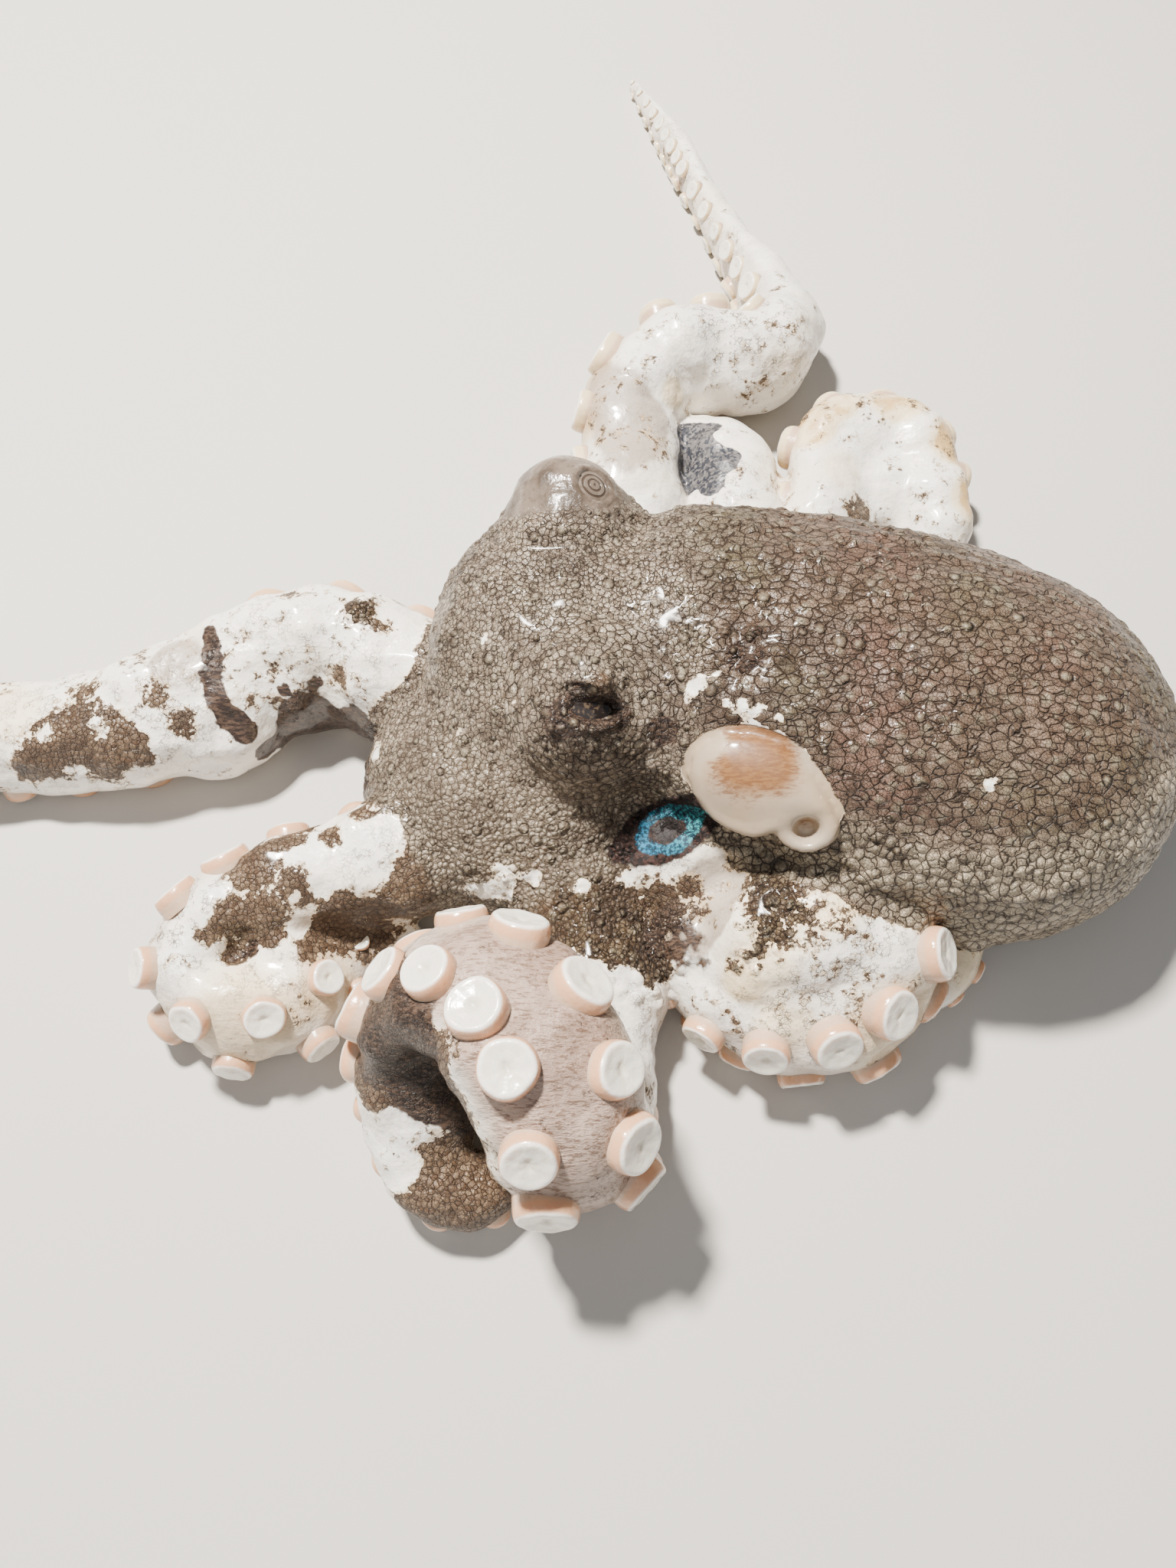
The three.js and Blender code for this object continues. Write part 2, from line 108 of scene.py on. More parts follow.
def ball(name, at, half, turn=0, tilt=0):
    """Adds a round lump of flesh, stretched to three half sizes, in millimetres."""
    bpy.ops.mesh.primitive_uv_sphere_add(
        segments=48, ring_count=32, radius=MM, location=Vector(at) * MM, rotation=(0, tilt, turn),
        scale=half,
    )
    bpy.ops.object.transform_apply()
    bpy.context.object.name = name
    return bpy.context.object


body_flesh += [
    ball("head_flesh", (-61, 15, 26), (23, 26, 18), HEAD_TURN),
    ball("eye_mound_left", (-57, 0.5, 31), (15, 15, 15)),
    ball("eye_mound_right", (-59.5, 29.5, 32), (13.6, 13.6, 13.6)),
    ball("eye_lid_right", (-60.4, 33.4, 36.2), (10.6, 10.6, 10.6)),
    ball("crown_flesh", (-68, -3, 9), (28.4, 25.9, 21.4)),
]

# ---- Arms' flesh -----------------------------------------------------------------------------------------
# Eight arms of solid muscle, round above and flatter on the sucker side, each a long taper that curls at
# its end. Every route is x, y, z, half width, then the turn of the sucker side about the arm in degrees.
ARM_FLATNESS = 0.78
ORAL_FLATNESS = 0.72
ARM_SIDES = 30
STEPS_PER_SPAN = 8
INNER_SIDE = 0.86
LUMP_LENGTH = 9
LUMP_HEIGHT = 0.16
ROUTES = {
    "l1": [
        (-74, -8, 12, 12, 0), (-86, -17.3, 12.4, 11.5, -20), (-96, -21.8, 11.8, 11.2, -50),
        (-106, -24.6, 11, 11, -75), (-115, -27.6, 10.4, 10.6, -90), (-122, -33.6, 9.8, 10.2, -98),
        (-122.8, -39.6, 9.4, 9.6, -102), (-118, -44.4, 9.2, 9.3, -116), (-110.6, -45.8, 9, 9.2, -128),
        (-103.8, -43, 8.4, 8.6, -130), (-100.6, -38.4, 6.8, 7, -136), (-96.5, -34, 4.9, 5, -150),
        (-90.5, -31.5, 3.7, 3.8, -120), (-84.5, -31.5, 2.7, 2.8, -90), (-79, -33, 2, 2.1, -60),
        (-75, -36, 1.4, 1.4, -30),
    ],
    "l2": [
        (-64, -8, 11, 13, 0), (-60, -20, 10, 13.3, 0), (-56.5, -33, 9.2, 13, 0), (-57, -46, 9, 12.4, 0),
        (-57.6, -57, 9.4, 12.2, 5), (-58, -65.8, 15.2, 12, 15), (-59, -67.2, 25, 12.4, 30),
        (-61.4, -62, 31.5, 12.9, 40), (-64.4, -55, 33.5, 13, 50), (-69.5, -49, 33, 12.8, 55),
        (-76.5, -45.5, 29, 12.2, 60), (-82.5, -48, 22, 11.4, 70), (-84, -55, 14.5, 10.2, 90),
        (-83, -62.5, 9.2, 9.2, 100), (-80.5, -69, 6.8, 8, 90), (-75, -71.5, 5.2, 6.6, 75),
        (-70.5, -67.5, 4, 5, 55), (-71, -61.5, 2.9, 3.5, 35), (-76, -59, 1.7, 1.9, 15),
    ],
    "l3": [
        (-56, -9, 12, 12.5, 0), (-44, -16, 14.5, 12.6, 20), (-33, -20.5, 17, 12.6, 45),
        (-22.5, -22.5, 18, 12.6, 70), (-13, -27, 17, 12.6, 95), (-8.5, -36, 14.4, 12.2, 120),
        (-14, -44.8, 11.6, 11.4, 140), (-24.5, -47.4, 10, 10.4, 130), (-34.5, -44, 8.2, 8.6, 115),
        (-40.5, -37, 5.9, 6.2, 110), (-41.5, -30, 4.2, 4.3, 90), (-37.5, -25, 2.9, 3, 60),
        (-31.5, -24, 1.7, 1.7, 30),
    ],
    "l4": [
        (-54, -5, 10, 10.5, 20), (-42, -12, 9.2, 10, 30), (-31, -18, 8.6, 9.6, 40),
        (-20, -22.5, 8.4, 9.2, 55), (-9, -26, 8.2, 8.6, 70), (0, -28, 7.4, 7.6, 80),
        (4.5, -33.5, 5.8, 6, 80), (0, -39.5, 4.6, 4.8, 70), (-6.5, -41, 3.4, 3.6, 40),
        (-12, -38.5, 2.3, 2.6, 20), (-17, -35.5, 1.5, 1.6, 0),
    ],
    "r1": [
        (-72, 5, 12, 12.5, -10), (-86, 12.8, 12.4, 13, -35), (-98, 18, 12.2, 13.8, -60),
        (-108, 19.5, 12, 14, -60), (-117.5, 17, 11.4, 13.6, -45), (-127, 11.5, 10.8, 12.8, -30),
        (-138, 7.6, 10, 12, -20), (-150, 6.2, 8.6, 11.2, -10), (-163, 5.4, 7.8, 10.4, 5),
        (-176, 6.8, 6.9, 9.3, 25), (-188.5, 11.5, 6.5, 8, 50), (-198, 20.5, 6.1, 6.7, 70),
        (-201, 32.5, 5, 5.4, 80), (-195, 42.5, 3.9, 4.2, 80), (-185.5, 45, 2.9, 3.2, 80),
        (-178.5, 40, 2.1, 2.3, 80), (-179, 33.5, 1.4, 1.4, 80),
    ],
    "r2": [
        (-64, 8, 9.5, 11, 0), (-55.5, 24, 9.5, 11.8, 20), (-49.5, 39, 10, 12.4, 40),
        (-48, 53, 10.6, 12.8, 60), (-48.6, 66, 11, 13, 75), (-48, 77, 11.6, 13, 80),
        (-42, 87, 12.2, 13, 85), (-31, 90, 12.4, 12.8, 85), (-21.5, 90.8, 12, 12.2, 85),
        (-16.5, 99.5, 10.4, 10.8, 85), (-18, 111.5, 8.2, 8.6, 80), (-22.5, 126, 5.9, 6.2, 75),
        (-27.4, 140.3, 4.9, 5.2, 75), (-32.5, 154.6, 4.4, 4.7, 80), (-38.2, 171, 3.4, 3.7, 90),
        (-45.5, 190.5, 1.5, 1.6, 100),
    ],
    "r3": [
        (-60, 7, 8.5, 9.5, 0), (-47, 22, 8.8, 10, 0), (-37, 34, 9, 10.4, -10), (-30.5, 46, 9.2, 11, -20),
        (-28.6, 56, 9.2, 10.8, -25), (-30.4, 65.6, 9, 10, -30), (-36, 69, 7.4, 8, -30),
        (-40.2, 64.5, 5.6, 6.2, -30), (-38.8, 58, 4.4, 4.9, -30), (-35.8, 52, 3.4, 3.8, -20),
        (-36.5, 46.5, 2.4, 2.7, -10), (-41, 43.5, 1.4, 1.6, 0),
    ],
    "r4": [
        (-54, 5, 8, 9, 0), (-40, 19, 8.4, 9.4, 25), (-26.5, 31, 8.8, 9.8, 42), (-15, 42, 9.2, 10, 50),
        (-9.6, 53.6, 9.6, 10.4, 50), (-8.8, 63.8, 9.8, 10.6, 50), (-4.2, 70.4, 9.8, 10.6, 50),
        (2.8, 71.6, 9.6, 10.4, 50), (7.8, 66.6, 9.2, 10.2, 50), (9.2, 57.6, 8.6, 9.6, 45),
        (9.2, 49.5, 7, 8, 40), (4, 43, 5, 5.4, 30), (-3, 42, 3.5, 3.8, 15), (-8, 45.5, 2.3, 2.6, 0),
        (-8, 51, 1.5, 1.5, 0),
    ],
}


def curve_through(points, t):
    """A point on the smooth curve through a list of points, with t counted in points."""
    i = min(int(t), len(points) - 2)
    u = t - i
    before = points[i - 1] if i > 0 else 2 * points[0] - points[1]
    after = points[i + 2] if i + 2 < len(points) else 2 * points[-1] - points[-2]
    a, b = points[i], points[i + 1]
    return 0.5 * (
        2 * a + (b - before) * u + (2 * before - 5 * a + 4 * b - after) * u**2
        + (3 * (a - b) + after - before) * u**3
    )


def arm_sections(route):
    """Sections along an arm: centre, half width, and directions along it, to its suckers and across it."""
    points = np.array(route, float)
    made = []
    carried = Vector((0, 0, -1))
    for i in range((len(points) - 1) * STEPS_PER_SPAN + 1):
        t = i / STEPS_PER_SPAN
        x, y, z, half_width, turn = curve_through(points, t)
        ahead = curve_through(points, min(t + 0.05, len(points) - 1))
        behind = curve_through(points, max(t - 0.05, 0))
        along = Vector((ahead - behind)[:3]).normalized()
        carried = (carried - along * carried.dot(along)).normalized()
        oral = Matrix.Rotation(math.radians(turn), 3, along) @ carried
        centre = Vector((x, y, z))
        length = made[-1]["length"] + (centre - made[-1]["centre"]).length if made else 0
        made.append({
            "centre": centre, "along": along, "oral": oral, "across": oral.cross(along),
            "half_width": half_width, "length": length,
        })
    # Where an arm bends sharply its inner side is held back, so that it doesn't run through itself.
    reach = 4
    for i, section in enumerate(made):
        before, after = made[max(0, i - reach)], made[min(len(made) - 1, i + reach)]
        bend = (after["along"] - before["along"]) / max(1e-6, after["length"] - before["length"])
        section["room"] = INNER_SIDE / bend.length if bend.length > 1e-4 else 1e9
        section["bend"] = bend
        section["inward"] = (bend - section["along"] * bend.dot(section["along"])).normalized()
    return made


def arm_ring(section):
    """The outline of one section, in metres."""
    ring = []
    for k in range(ARM_SIDES):
        angle = math.tau * k / ARM_SIDES
        flatness = ORAL_FLATNESS if math.sin(angle) > 0 else ARM_FLATNESS
        lump_at = section["centre"] / LUMP_LENGTH + section["across"] * math.cos(angle)
        lump = 1 + LUMP_HEIGHT * noise.noise(lump_at)
        out = section["across"] * section["half_width"] * math.cos(angle) * lump
        out += section["oral"] * section["half_width"] * flatness * math.sin(angle) * lump
        over = out.dot(section["inward"]) - section["room"]
        if over > 0:
            out -= section["inward"] * over
        ring.append((section["centre"] + out) * MM)
    return ring


def new_mesh(name, points, faces):
    """Adds an object made of points and faces."""
    mesh = bpy.data.meshes.new(name)
    mesh.from_pydata(points, [], faces)
    made = bpy.data.objects.new(name, mesh)
    bpy.context.collection.objects.link(made)
    return made


def ring_faces(first, sides, rounds):
    """The faces of a closed skin over a number of rings, counted from its first point."""
    faces = []
    for i in range(rounds - 1):
        for k in range(sides):
            a, b = first + i * sides + k, first + i * sides + (k + 1) % sides
            faces.append((a, b, b + sides, a + sides))
    faces.append(tuple(range(first, first + sides))[::-1])
    faces.append(tuple(range(first + (rounds - 1) * sides, first + rounds * sides)))
    return faces


def tube(name, rings):
    """A closed skin over rings that have the same number of corners."""
    points = [p for ring in rings for p in ring]
    return new_mesh(name, points, ring_faces(0, len(rings[0]), len(rings)))


def rounded_end(section):
    """Smaller and smaller rings past an arm's last section, for its blunt tip."""
    rings = []
    for angle in (0.4, 0.8, 1.2, 1.5):
        last = dict(section)
        last["centre"] = section["centre"] + section["along"] * section["half_width"] * 0.9 * math.sin(angle)
        last["half_width"] = section["half_width"] * math.cos(angle)
        rings.append(arm_ring(last))
    return rings


arms = {name: arm_sections(route) for name, route in ROUTES.items()}
arm_flesh = {
    name: tube(f"arm_{name}_flesh", [arm_ring(s) for s in made] + rounded_end(made[-1]))
    for name, made in arms.items()
}
l1_swelling = ball("arm_l1_swelling", (-107.5, -36, 8.6), (9.5, 6.5, 7.6))
l3_swelling = ball("arm_l3_swelling", (-21.5, -33.4, 15.6), (18.5, 15, 13.4))
l3_web = ball("arm_l3_web", (-38.5, -32, 11), (9, 11, 9.5))
r4_swelling = ball("arm_r4_swelling", (0.5, 60.5, 8), (8.5, 9, 8.4))

# ---- Funnel's flesh --------------------------------------------------------------------------------------
# The funnel is the jet through which the animal blows water: a hood of thin flesh at the neck's near side.
# It bulges out from under the mantle's edge, has a thick free rim below, and rolls to an open spout.
# The hinge runs along the mantle's edge and the rim runs free; each is a row of places in millimetres.
HOOD_HINGE = [
    (-40.6, -12, 37), (-38.2, -10.8, 39.8), (-34.5, -10.6, 41.2), (-30.3, -11.6, 41.6),
    (-26.7, -13.8, 41.4), (-23.4, -17.8, 40.2), (-20.8, -21.6, 38.4),
]
HOOD_RIM = [
    (-41.2, -14.2, 35), (-39.4, -18.2, 34), (-35.8, -21.2, 33.8), (-32, -23, 34.6), (-29.1, -22.7, 36.2),
    (-26, -21.6, 37.6), (-23.2, -21.4, 38.8),
]
HOOD_BULGE = [0.5, 1.6, 2.3, 2.2, 1.5, 0.9, 0.3]
HOOD_SKIN = 1.5
RIM_RADIUS = 0.9
MOUTH_AT = (-24.2, -23.4, 36.2)
MOUTH_RADIUS = 2.9
MOUTH_LIP = 1.1
HOOD_STEPS = 40

hinge_points, rim_points = np.array(HOOD_HINGE, float), np.array(HOOD_RIM, float)
hood_span = len(HOOD_RIM) - 1
hood_places = []
for i in range(HOOD_STEPS + 1):
    t = hood_span * i / HOOD_STEPS
    hinge, rim = curve_through(hinge_points, t), curve_through(rim_points, t)
    bulge = np.interp(t, range(hood_span + 1), HOOD_BULGE)
    for k in range(HOOD_STEPS + 1):
        v = k / HOOD_STEPS
        swell_out = np.array((-0.25, -0.5, 0.83)) * bulge * math.sin(math.pi * min(1, v * 1.05)) ** 0.8
        hood_places.append(Vector(hinge * (1 - v) + rim * v + swell_out) * MM)
row = HOOD_STEPS + 1
hood_faces = [
    (i * row + k, i * row + k + 1, (i + 1) * row + k + 1, (i + 1) * row + k)
    for i in range(HOOD_STEPS) for k in range(HOOD_STEPS)
]
hood = new_mesh("funnel_hood", hood_places, hood_faces)
hood_wall = hood.modifiers.new("wall", "SOLIDIFY")
hood_wall.thickness = HOOD_SKIN * MM
hood_wall.offset = 0
bpy.context.view_layer.objects.active = hood
bpy.ops.object.modifier_apply(modifier=hood_wall.name)
funnel_flesh = [hood, ball("funnel_root", (-34.6, -12.4, 33), (5.6, 5.2, 6), 0.3)]
for t in np.linspace(0, hood_span, 60):
    thick = RIM_RADIUS * (0.75 + 0.6 * math.sin(math.pi * t / hood_span))
    funnel_flesh.append(ball("funnel_rim", curve_through(rim_points, t), (thick, thick, thick)))
bpy.ops.mesh.primitive_torus_add(
    major_segments=40, minor_segments=14, major_radius=MOUTH_RADIUS * MM, minor_radius=MOUTH_LIP * MM,
    location=Vector(MOUTH_AT) * MM, rotation=(0.6, -0.25, 0),
)
bpy.context.object.scale = (1.2, 0.95, 1)
bpy.ops.object.transform_apply()
funnel_flesh.append(bpy.context.object)
funnel_flesh.append(ball("funnel_spout", (-23.6, -21.6, 34.6), (4, 3.2, 3)))

# ---- One skin over all the flesh -------------------------------------------------------------------------
# The skin runs without a seam from the mantle over the head to the ends of the arms. The lumps of flesh are
# joined and wrapped in one even mesh, whose joins are softened where the real skin bridges them.
SKIN_MESH = 0.0006
SKIN_TRIANGLES = 197000
SLIT_AT = np.array((-56.5, -7.2, 44.2))
SLIT_HALF_LENGTH = 3.5
SLIT_HALF_OPEN = 1.4
SLIT_DEPTH = 2.4
SLIT_TURN = -0.2
EYE_PEAK = (-57, -5.6, 43)
EYE_LEFT_AT = np.array((-57.8, -5.2, 37.9))
EYE_LEFT_RADIUS = 6.1
LID_THICKNESS = 0.8
EYE_RIGHT_AT = np.array((-60.4, 33.4, 36.2))
EYE_RIGHT_RADIUS = 9.4
FAR_PUPIL = Vector((4.5, 0.2, 8.2)).normalized()
OPENING_AT = EYE_RIGHT_AT + EYE_RIGHT_RADIUS * np.array(FAR_PUPIL)
OPENING_RADIUS = 2.6
FILM_THICKNESS = 0.5
# Swellings and dents: x, y, z, radius, height.
FOLDS = [
    (-56.6, -1.8, 44.5, 5.6, 2.6), (-54.9, -4, 45.4, 1.9, 2.3), (-60.4, -6.6, 44.3, 1.3, 1.5),
    (-59.9, -3.4, 45.4, 1.3, 1.2), (-62, -8.6, 42, 1.2, 1.1), (-53.2, -8.6, 41.8, 1.3, 1.2),
    (-57.9, -9.8, 43.1, 0.95, 0.8), (-56.2, -10, 42.7, 0.85, 0.7), (-59.5, -9.2, 43.2, 0.9, 0.8),
    (-54.8, -9.5, 42.4, 0.9, 0.8), (-58.6, -12, 41.6, 1.5, 0.6), (-31.9, 4.7, 46.3, 1.6, 1.8),
    (-27.9, 0.5, 46.2, 1.5, 1.5), (-35, 1.6, 45.6, 1.2, 1.1), (-33.2, -0.4, 45.4, 1.1, 1.1),
    (-30.6, 1.2, 45.8, 1.2, 1.1), (-36.8, 4, 45.6, 1.2, 0.9), (-97.1, 22.4, 24, 2.6, 1.9),
    (-120.5, 5, 15, 4, -1.2), (-116.5, 17.8, 22, 4, -0.9), (-112.8, -34.7, 14, 5, -1.6),
    (-104.5, -27, 20, 4, 0.9), (-116.4, -29, 18.6, 6, 0.8), (-8.2, -41, 23.5, 6, 0.8),
    (-33, -42.7, 20.7, 4, 0.9), (-35.5, -26.9, 24, 4.5, -2.4), (-33, -36, 25, 4, 0.8),
    (-12.7, -29.8, 28.5, 5, 1.2), (-137.5, 11.5, 20, 4.5, 1), (-89, -20, 20.6, 4.5, 0.8),
    (-95.8, -17.6, 20.6, 3.4, 0.9), (-100.4, -20.8, 20.2, 2.4, 0.7), (5, -33, 16, 3.4, 2.2),
    (8, -28, 14, 2.4, 1.6), (-21.5, -45, 22, 7, -1.2), (-14.5, -38, 27, 6, 1), (-66, 25.6, 41.5, 3.4, 0.8),
    (-48, -2, 41, 5, -0.9), (-46, 3, 43, 4, -0.7), (-70, -22, 22, 6, -0.8),
]
# Where the arms are warty: x, y, z, radius, amount.
WARTY = [
    (-55.7, -31.6, 18.9, 8, 1), (-45.9, -37.8, 15.8, 8, 1), (-55.3, -39.3, 18.6, 7, 1),
    (-71.7, -26.3, 16.6, 5, 1), (-28.9, -27.8, 27.2, 4.5, 1), (-27.7, -34.6, 27.7, 4.5, 1),
    (-32.2, -38.1, 25, 4.5, 1), (-97.1, 22.4, 24.2, 4, 1),
]
# Papillae: how many places are tried, how far they keep from each other over their radii, and the depth
# and reach of the groove round each.
PAPILLA_TRIES = 9000
PAPILLA_ROOM = 0.86
PAPILLA_GROOVE = 0.12
GROOVE_REACH = 1.35


def wrap(things, name, mesh_size, rounds):
    """Joins lumps of flesh in one closed skin of even quads, softened a number of rounds."""
    bpy.ops.object.select_all(action="DESELECT")
    for thing in things:
        thing.select_set(True)
    bpy.context.view_layer.objects.active = things[0]
    bpy.ops.object.join()
    wrapped = bpy.context.object
    wrapped.name = name
    remesh = wrapped.modifiers.new("wrap", "REMESH")
    remesh.mode = "VOXEL"
    remesh.voxel_size = mesh_size
    remesh.use_smooth_shade = True
    bpy.ops.object.modifier_apply(modifier=remesh.name)
    soften = wrapped.modifiers.new("soften", "SMOOTH")
    soften.factor = 0.5
    soften.iterations = rounds
    bpy.ops.object.modifier_apply(modifier=soften.name)
    return wrapped


body = wrap(body_flesh, "body_flesh", 0.0013, 40)
arm_l1 = wrap([arm_flesh["l1"], l1_swelling], "arm_l1_flesh", 0.001, 14)
arm_l3 = wrap([arm_flesh["l3"], l3_swelling, l3_web], "arm_l3_flesh", 0.001, 24)
arm_r4 = wrap([arm_flesh["r4"], r4_swelling], "arm_r4_flesh", 0.001, 12)
funnel = wrap(funnel_flesh, "funnel_flesh", 0.00035, 9)
other_arms = [flesh for name, flesh in arm_flesh.items() if name not in ("l1", "l3", "r4")]
skin = wrap([body, arm_l1, arm_l3, arm_r4, funnel] + other_arms, "skin", SKIN_MESH, 5)


def read_rows(thing, what):
    """The places or normals of a mesh's points, as rows of x, y, z."""
    rows = np.empty(len(thing.data.vertices) * 3, np.float32)
    thing.data.vertices.foreach_get(what, rows)
    return rows.reshape(-1, 3).astype(float)


def smoothly(value, start, end):
    """0 up to start and 1 from end, with a smooth rise between."""
    u = np.clip((value - start) / (end - start), 0, 1)
    return u * u * (3 - 2 * u)


def distances(places, at):
    """How far each place is from a point."""
    return np.linalg.norm(places - np.array(at), axis=1)


def search_tree(spots, numbers=None):
    """A tree that finds the nearest of some places, and says its number."""
    made = kdtree.KDTree(len(spots))
    for i, spot in enumerate(spots):
        made.insert(spot, numbers[i] if numbers else i)
    made.balance()
    return made


# Where each point of the skin lies on its arm: the nearest section of any arm says how far along the point
# is, and how far to the sucker side.
section_list = [section for made in arms.values() for section in made]
section_tree = search_tree([section["centre"] for section in section_list])


def arm_position(places):
    """For each place: how far along its arm it is, how far to the sucker side, and the arm's half width."""
    rows = []
    for place in places:
        section = section_list[section_tree.find(place)[1]]
        out = Vector(place) - section["centre"]
        half_width = section["half_width"]
        rows.append((section["length"], out.dot(section["oral"]) / half_width, half_width))
    return np.array(rows).T


def in_ellipsoid(places, at, half, turn=0):
    """How far each place is from an ellipsoid's middle, 1 on its surface."""
    offset = places - np.array(at)
    c, s = math.cos(-turn), math.sin(-turn)
    turned = np.stack([
        offset[:, 0] * c - offset[:, 1] * s, offset[:, 0] * s + offset[:, 1] * c, offset[:, 2],
    ], 1)
    return np.linalg.norm(turned / np.array(half), axis=1)


def body_share(places):
    """1 on the mantle, head and crown, and 0 on the free arms, with a short blend between."""
    share = 1 - smoothly(in_ellipsoid(places, (-61, 15, 26), (23, 26, 18), HEAD_TURN), 1.04, 1.16)
    for at, half in (
        ((-57, 0.5, 31), (15, 15, 15)), ((-59.5, 29.5, 32), (13.6, 13.6, 13.6)),
        ((-68, -3, 9), (28, 25.5, 21)),
    ):
        share = np.maximum(share, 1 - smoothly(in_ellipsoid(places, at, half), 1.03, 1.12))
    axis = np.array(MANTLE_REAR - MANTLE_FRONT)
    t = np.clip((places - np.array(MANTLE_FRONT)) @ axis / (axis @ axis), 0, 1)
    offset = places - (np.array(MANTLE_FRONT) + t[:, None] * axis)
    widths = np.array([swell(min(0.97, u)) for u in t])
    sideways = np.linalg.norm(offset[:, :2], axis=1) / (MANTLE_HALF_WIDTH * widths)
    upward = offset[:, 2] / (MANTLE_HALF_HEIGHT * widths)
    return np.maximum(share, 1 - smoothly(np.hypot(sideways, upward), 1.03, 1.12))


funnel_tree = search_tree([place / MM for place in hood_places] + [Vector(MOUTH_AT)])


def funnel_share(places):
    """1 on the funnel's hood and spout, and 0 off them."""
    distance = np.array([funnel_tree.find(place)[2] for place in places])
    from_mouth = distances(places, MOUTH_AT) - MOUTH_RADIUS
    return 1 - smoothly(np.minimum(distance, from_mouth), 1.5, 2.4)


def touched(places, base, touches):
    """A value over the skin, raised or lowered round named places: x, y, z, radius, amount."""
    value = np.zeros(len(places)) + base
    for x, y, z, radius, amount in touches:
        distance = distances(places, (x, y, z))
        if radius < 3:
            distance = distances(places, places[np.argmin(distance)])
        value += amount * (1 - smoothly(distance, 0.45 * radius, 1.25 * radius))
    return value


def slit_distance(places):
    """How far each place is from the near eye's slit: 1 on its edge, and also in millimetres."""
    offset = places - SLIT_AT
    along = offset[:, 0] * math.cos(SLIT_TURN) + offset[:, 1] * math.sin(SLIT_TURN)
    beside = offset[:, 1] * math.cos(SLIT_TURN) - offset[:, 0] * math.sin(SLIT_TURN)
    over = beside * 0.8 + offset[:, 2] * 0.6
    return np.hypot(along / SLIT_HALF_LENGTH, over / SLIT_HALF_OPEN), np.linalg.norm(offset, axis=1)


# The relief: the near eye's lids lie on its ball, then come slack folds all over and the named swellings.
places = read_rows(skin, "co") / MM
normals = read_rows(skin, "normal")
from_left = distances(places, EYE_LEFT_AT)
lidded = from_left < EYE_LEFT_RADIUS + LID_THICKNESS
normals[lidded] = (places - EYE_LEFT_AT)[lidded] / from_left[lidded, None]
places[lidded] = EYE_LEFT_AT + normals[lidded] * (EYE_LEFT_RADIUS + LID_THICKNESS)
on_body = body_share(places)
off_funnel = 1 - funnel_share(places)
to_suckers, arm_half_width = arm_position(places)[1:]
fullness = np.clip(arm_half_width / 9, 0.12, 1)
slack, crease, neck_folds = np.array([
    (
        noise.noise(p / 11) + 0.5 * noise.noise(p / 5 + Vector((9, 0, 0))),
        noise.noise(Vector((p.x / 6, p.y / 2.2, p.z / 3))),
        1 - 2 * abs(noise.noise(Vector((p.x / 15 + p.y / 30, p.y / 2.6 + p.x / 14, p.z / 4)))),
    )
    for p in map(Vector, places)
]).T
relief = slack * np.where(on_body > 0.5, 0.8, 1.15) * fullness * off_funnel
relief += crease * 0.3 * fullness * off_funnel
on_neck = 1 - smoothly(np.linalg.norm((places - (-30, -8, 36)) / (26, 15, 16), axis=1), 0.5, 1.1)
relief += neck_folds * 0.42 * on_neck * off_funnel
for x, y, z, radius, height in FOLDS:
    distance = distances(places, (x, y, z))
    relief += height * (1 - smoothly(distance, 0, 1.25 * radius))

# The shut near eye: a slit sunk between two lids, in the middle of rings of small wrinkles.
from_slit, near_slit = slit_distance(places)
relief -= SLIT_DEPTH * (1 - smoothly(from_slit, 0.4, 1.6)) * (near_slit < 9)
from_peak = distances(places, EYE_PEAK)
relief += 0.13 * np.sin(from_peak * math.tau / 1.5 + 2.2 * slack) * smoothly(from_peak, 4.5, 7) * (
    1 - smoothly(from_peak, 11, 18)
) * on_body * off_funnel

# The far eye lies under a film of skin with a small opening, and faint rings of wrinkles round that.
from_ball = distances(places, EYE_RIGHT_AT) - EYE_RIGHT_RADIUS
from_opening = distances(places, OPENING_AT)
ripples = smoothly(from_opening, 2.8, 4) * (1 - smoothly(from_opening, 6, 9))
relief += 0.07 * np.sin(from_opening * 2.6) * ripples
relief -= 0.7 * np.exp(-(((from_ball - 4) / 1.2) ** 2)) * (places[:, 1] < 30) * on_body

# Papillae, scattered without touching: their size follows the part of the body that they stand on.
draw = random.Random(31)
skin_tree = search_tree(places)
warty = touched(places, 0, WARTY)
wart_height = np.zeros(len(places))
papillae = {}


def papilla_size(i):
    """Radius and height of a papilla at a point: large on the neck, flat at the rear, fine on the head."""
    x, y, z = places[i]
    if warty[i] > 0.4:
        return draw.uniform(0.75, 1.35), draw.uniform(0.45, 0.75)
    if near_slit[i] < 9:
        return draw.uniform(0.55, 1.05), draw.uniform(0.35, 0.65)
    if x > 0:
        return draw.uniform(0.9, 1.5), draw.uniform(0.1, 0.2)
    if x > -44:
        return draw.uniform(0.8, 1.4), draw.choice((0.22, 0.3, 0.55))
    return draw.uniform(0.65, 1.1), draw.uniform(0.2, 0.4)


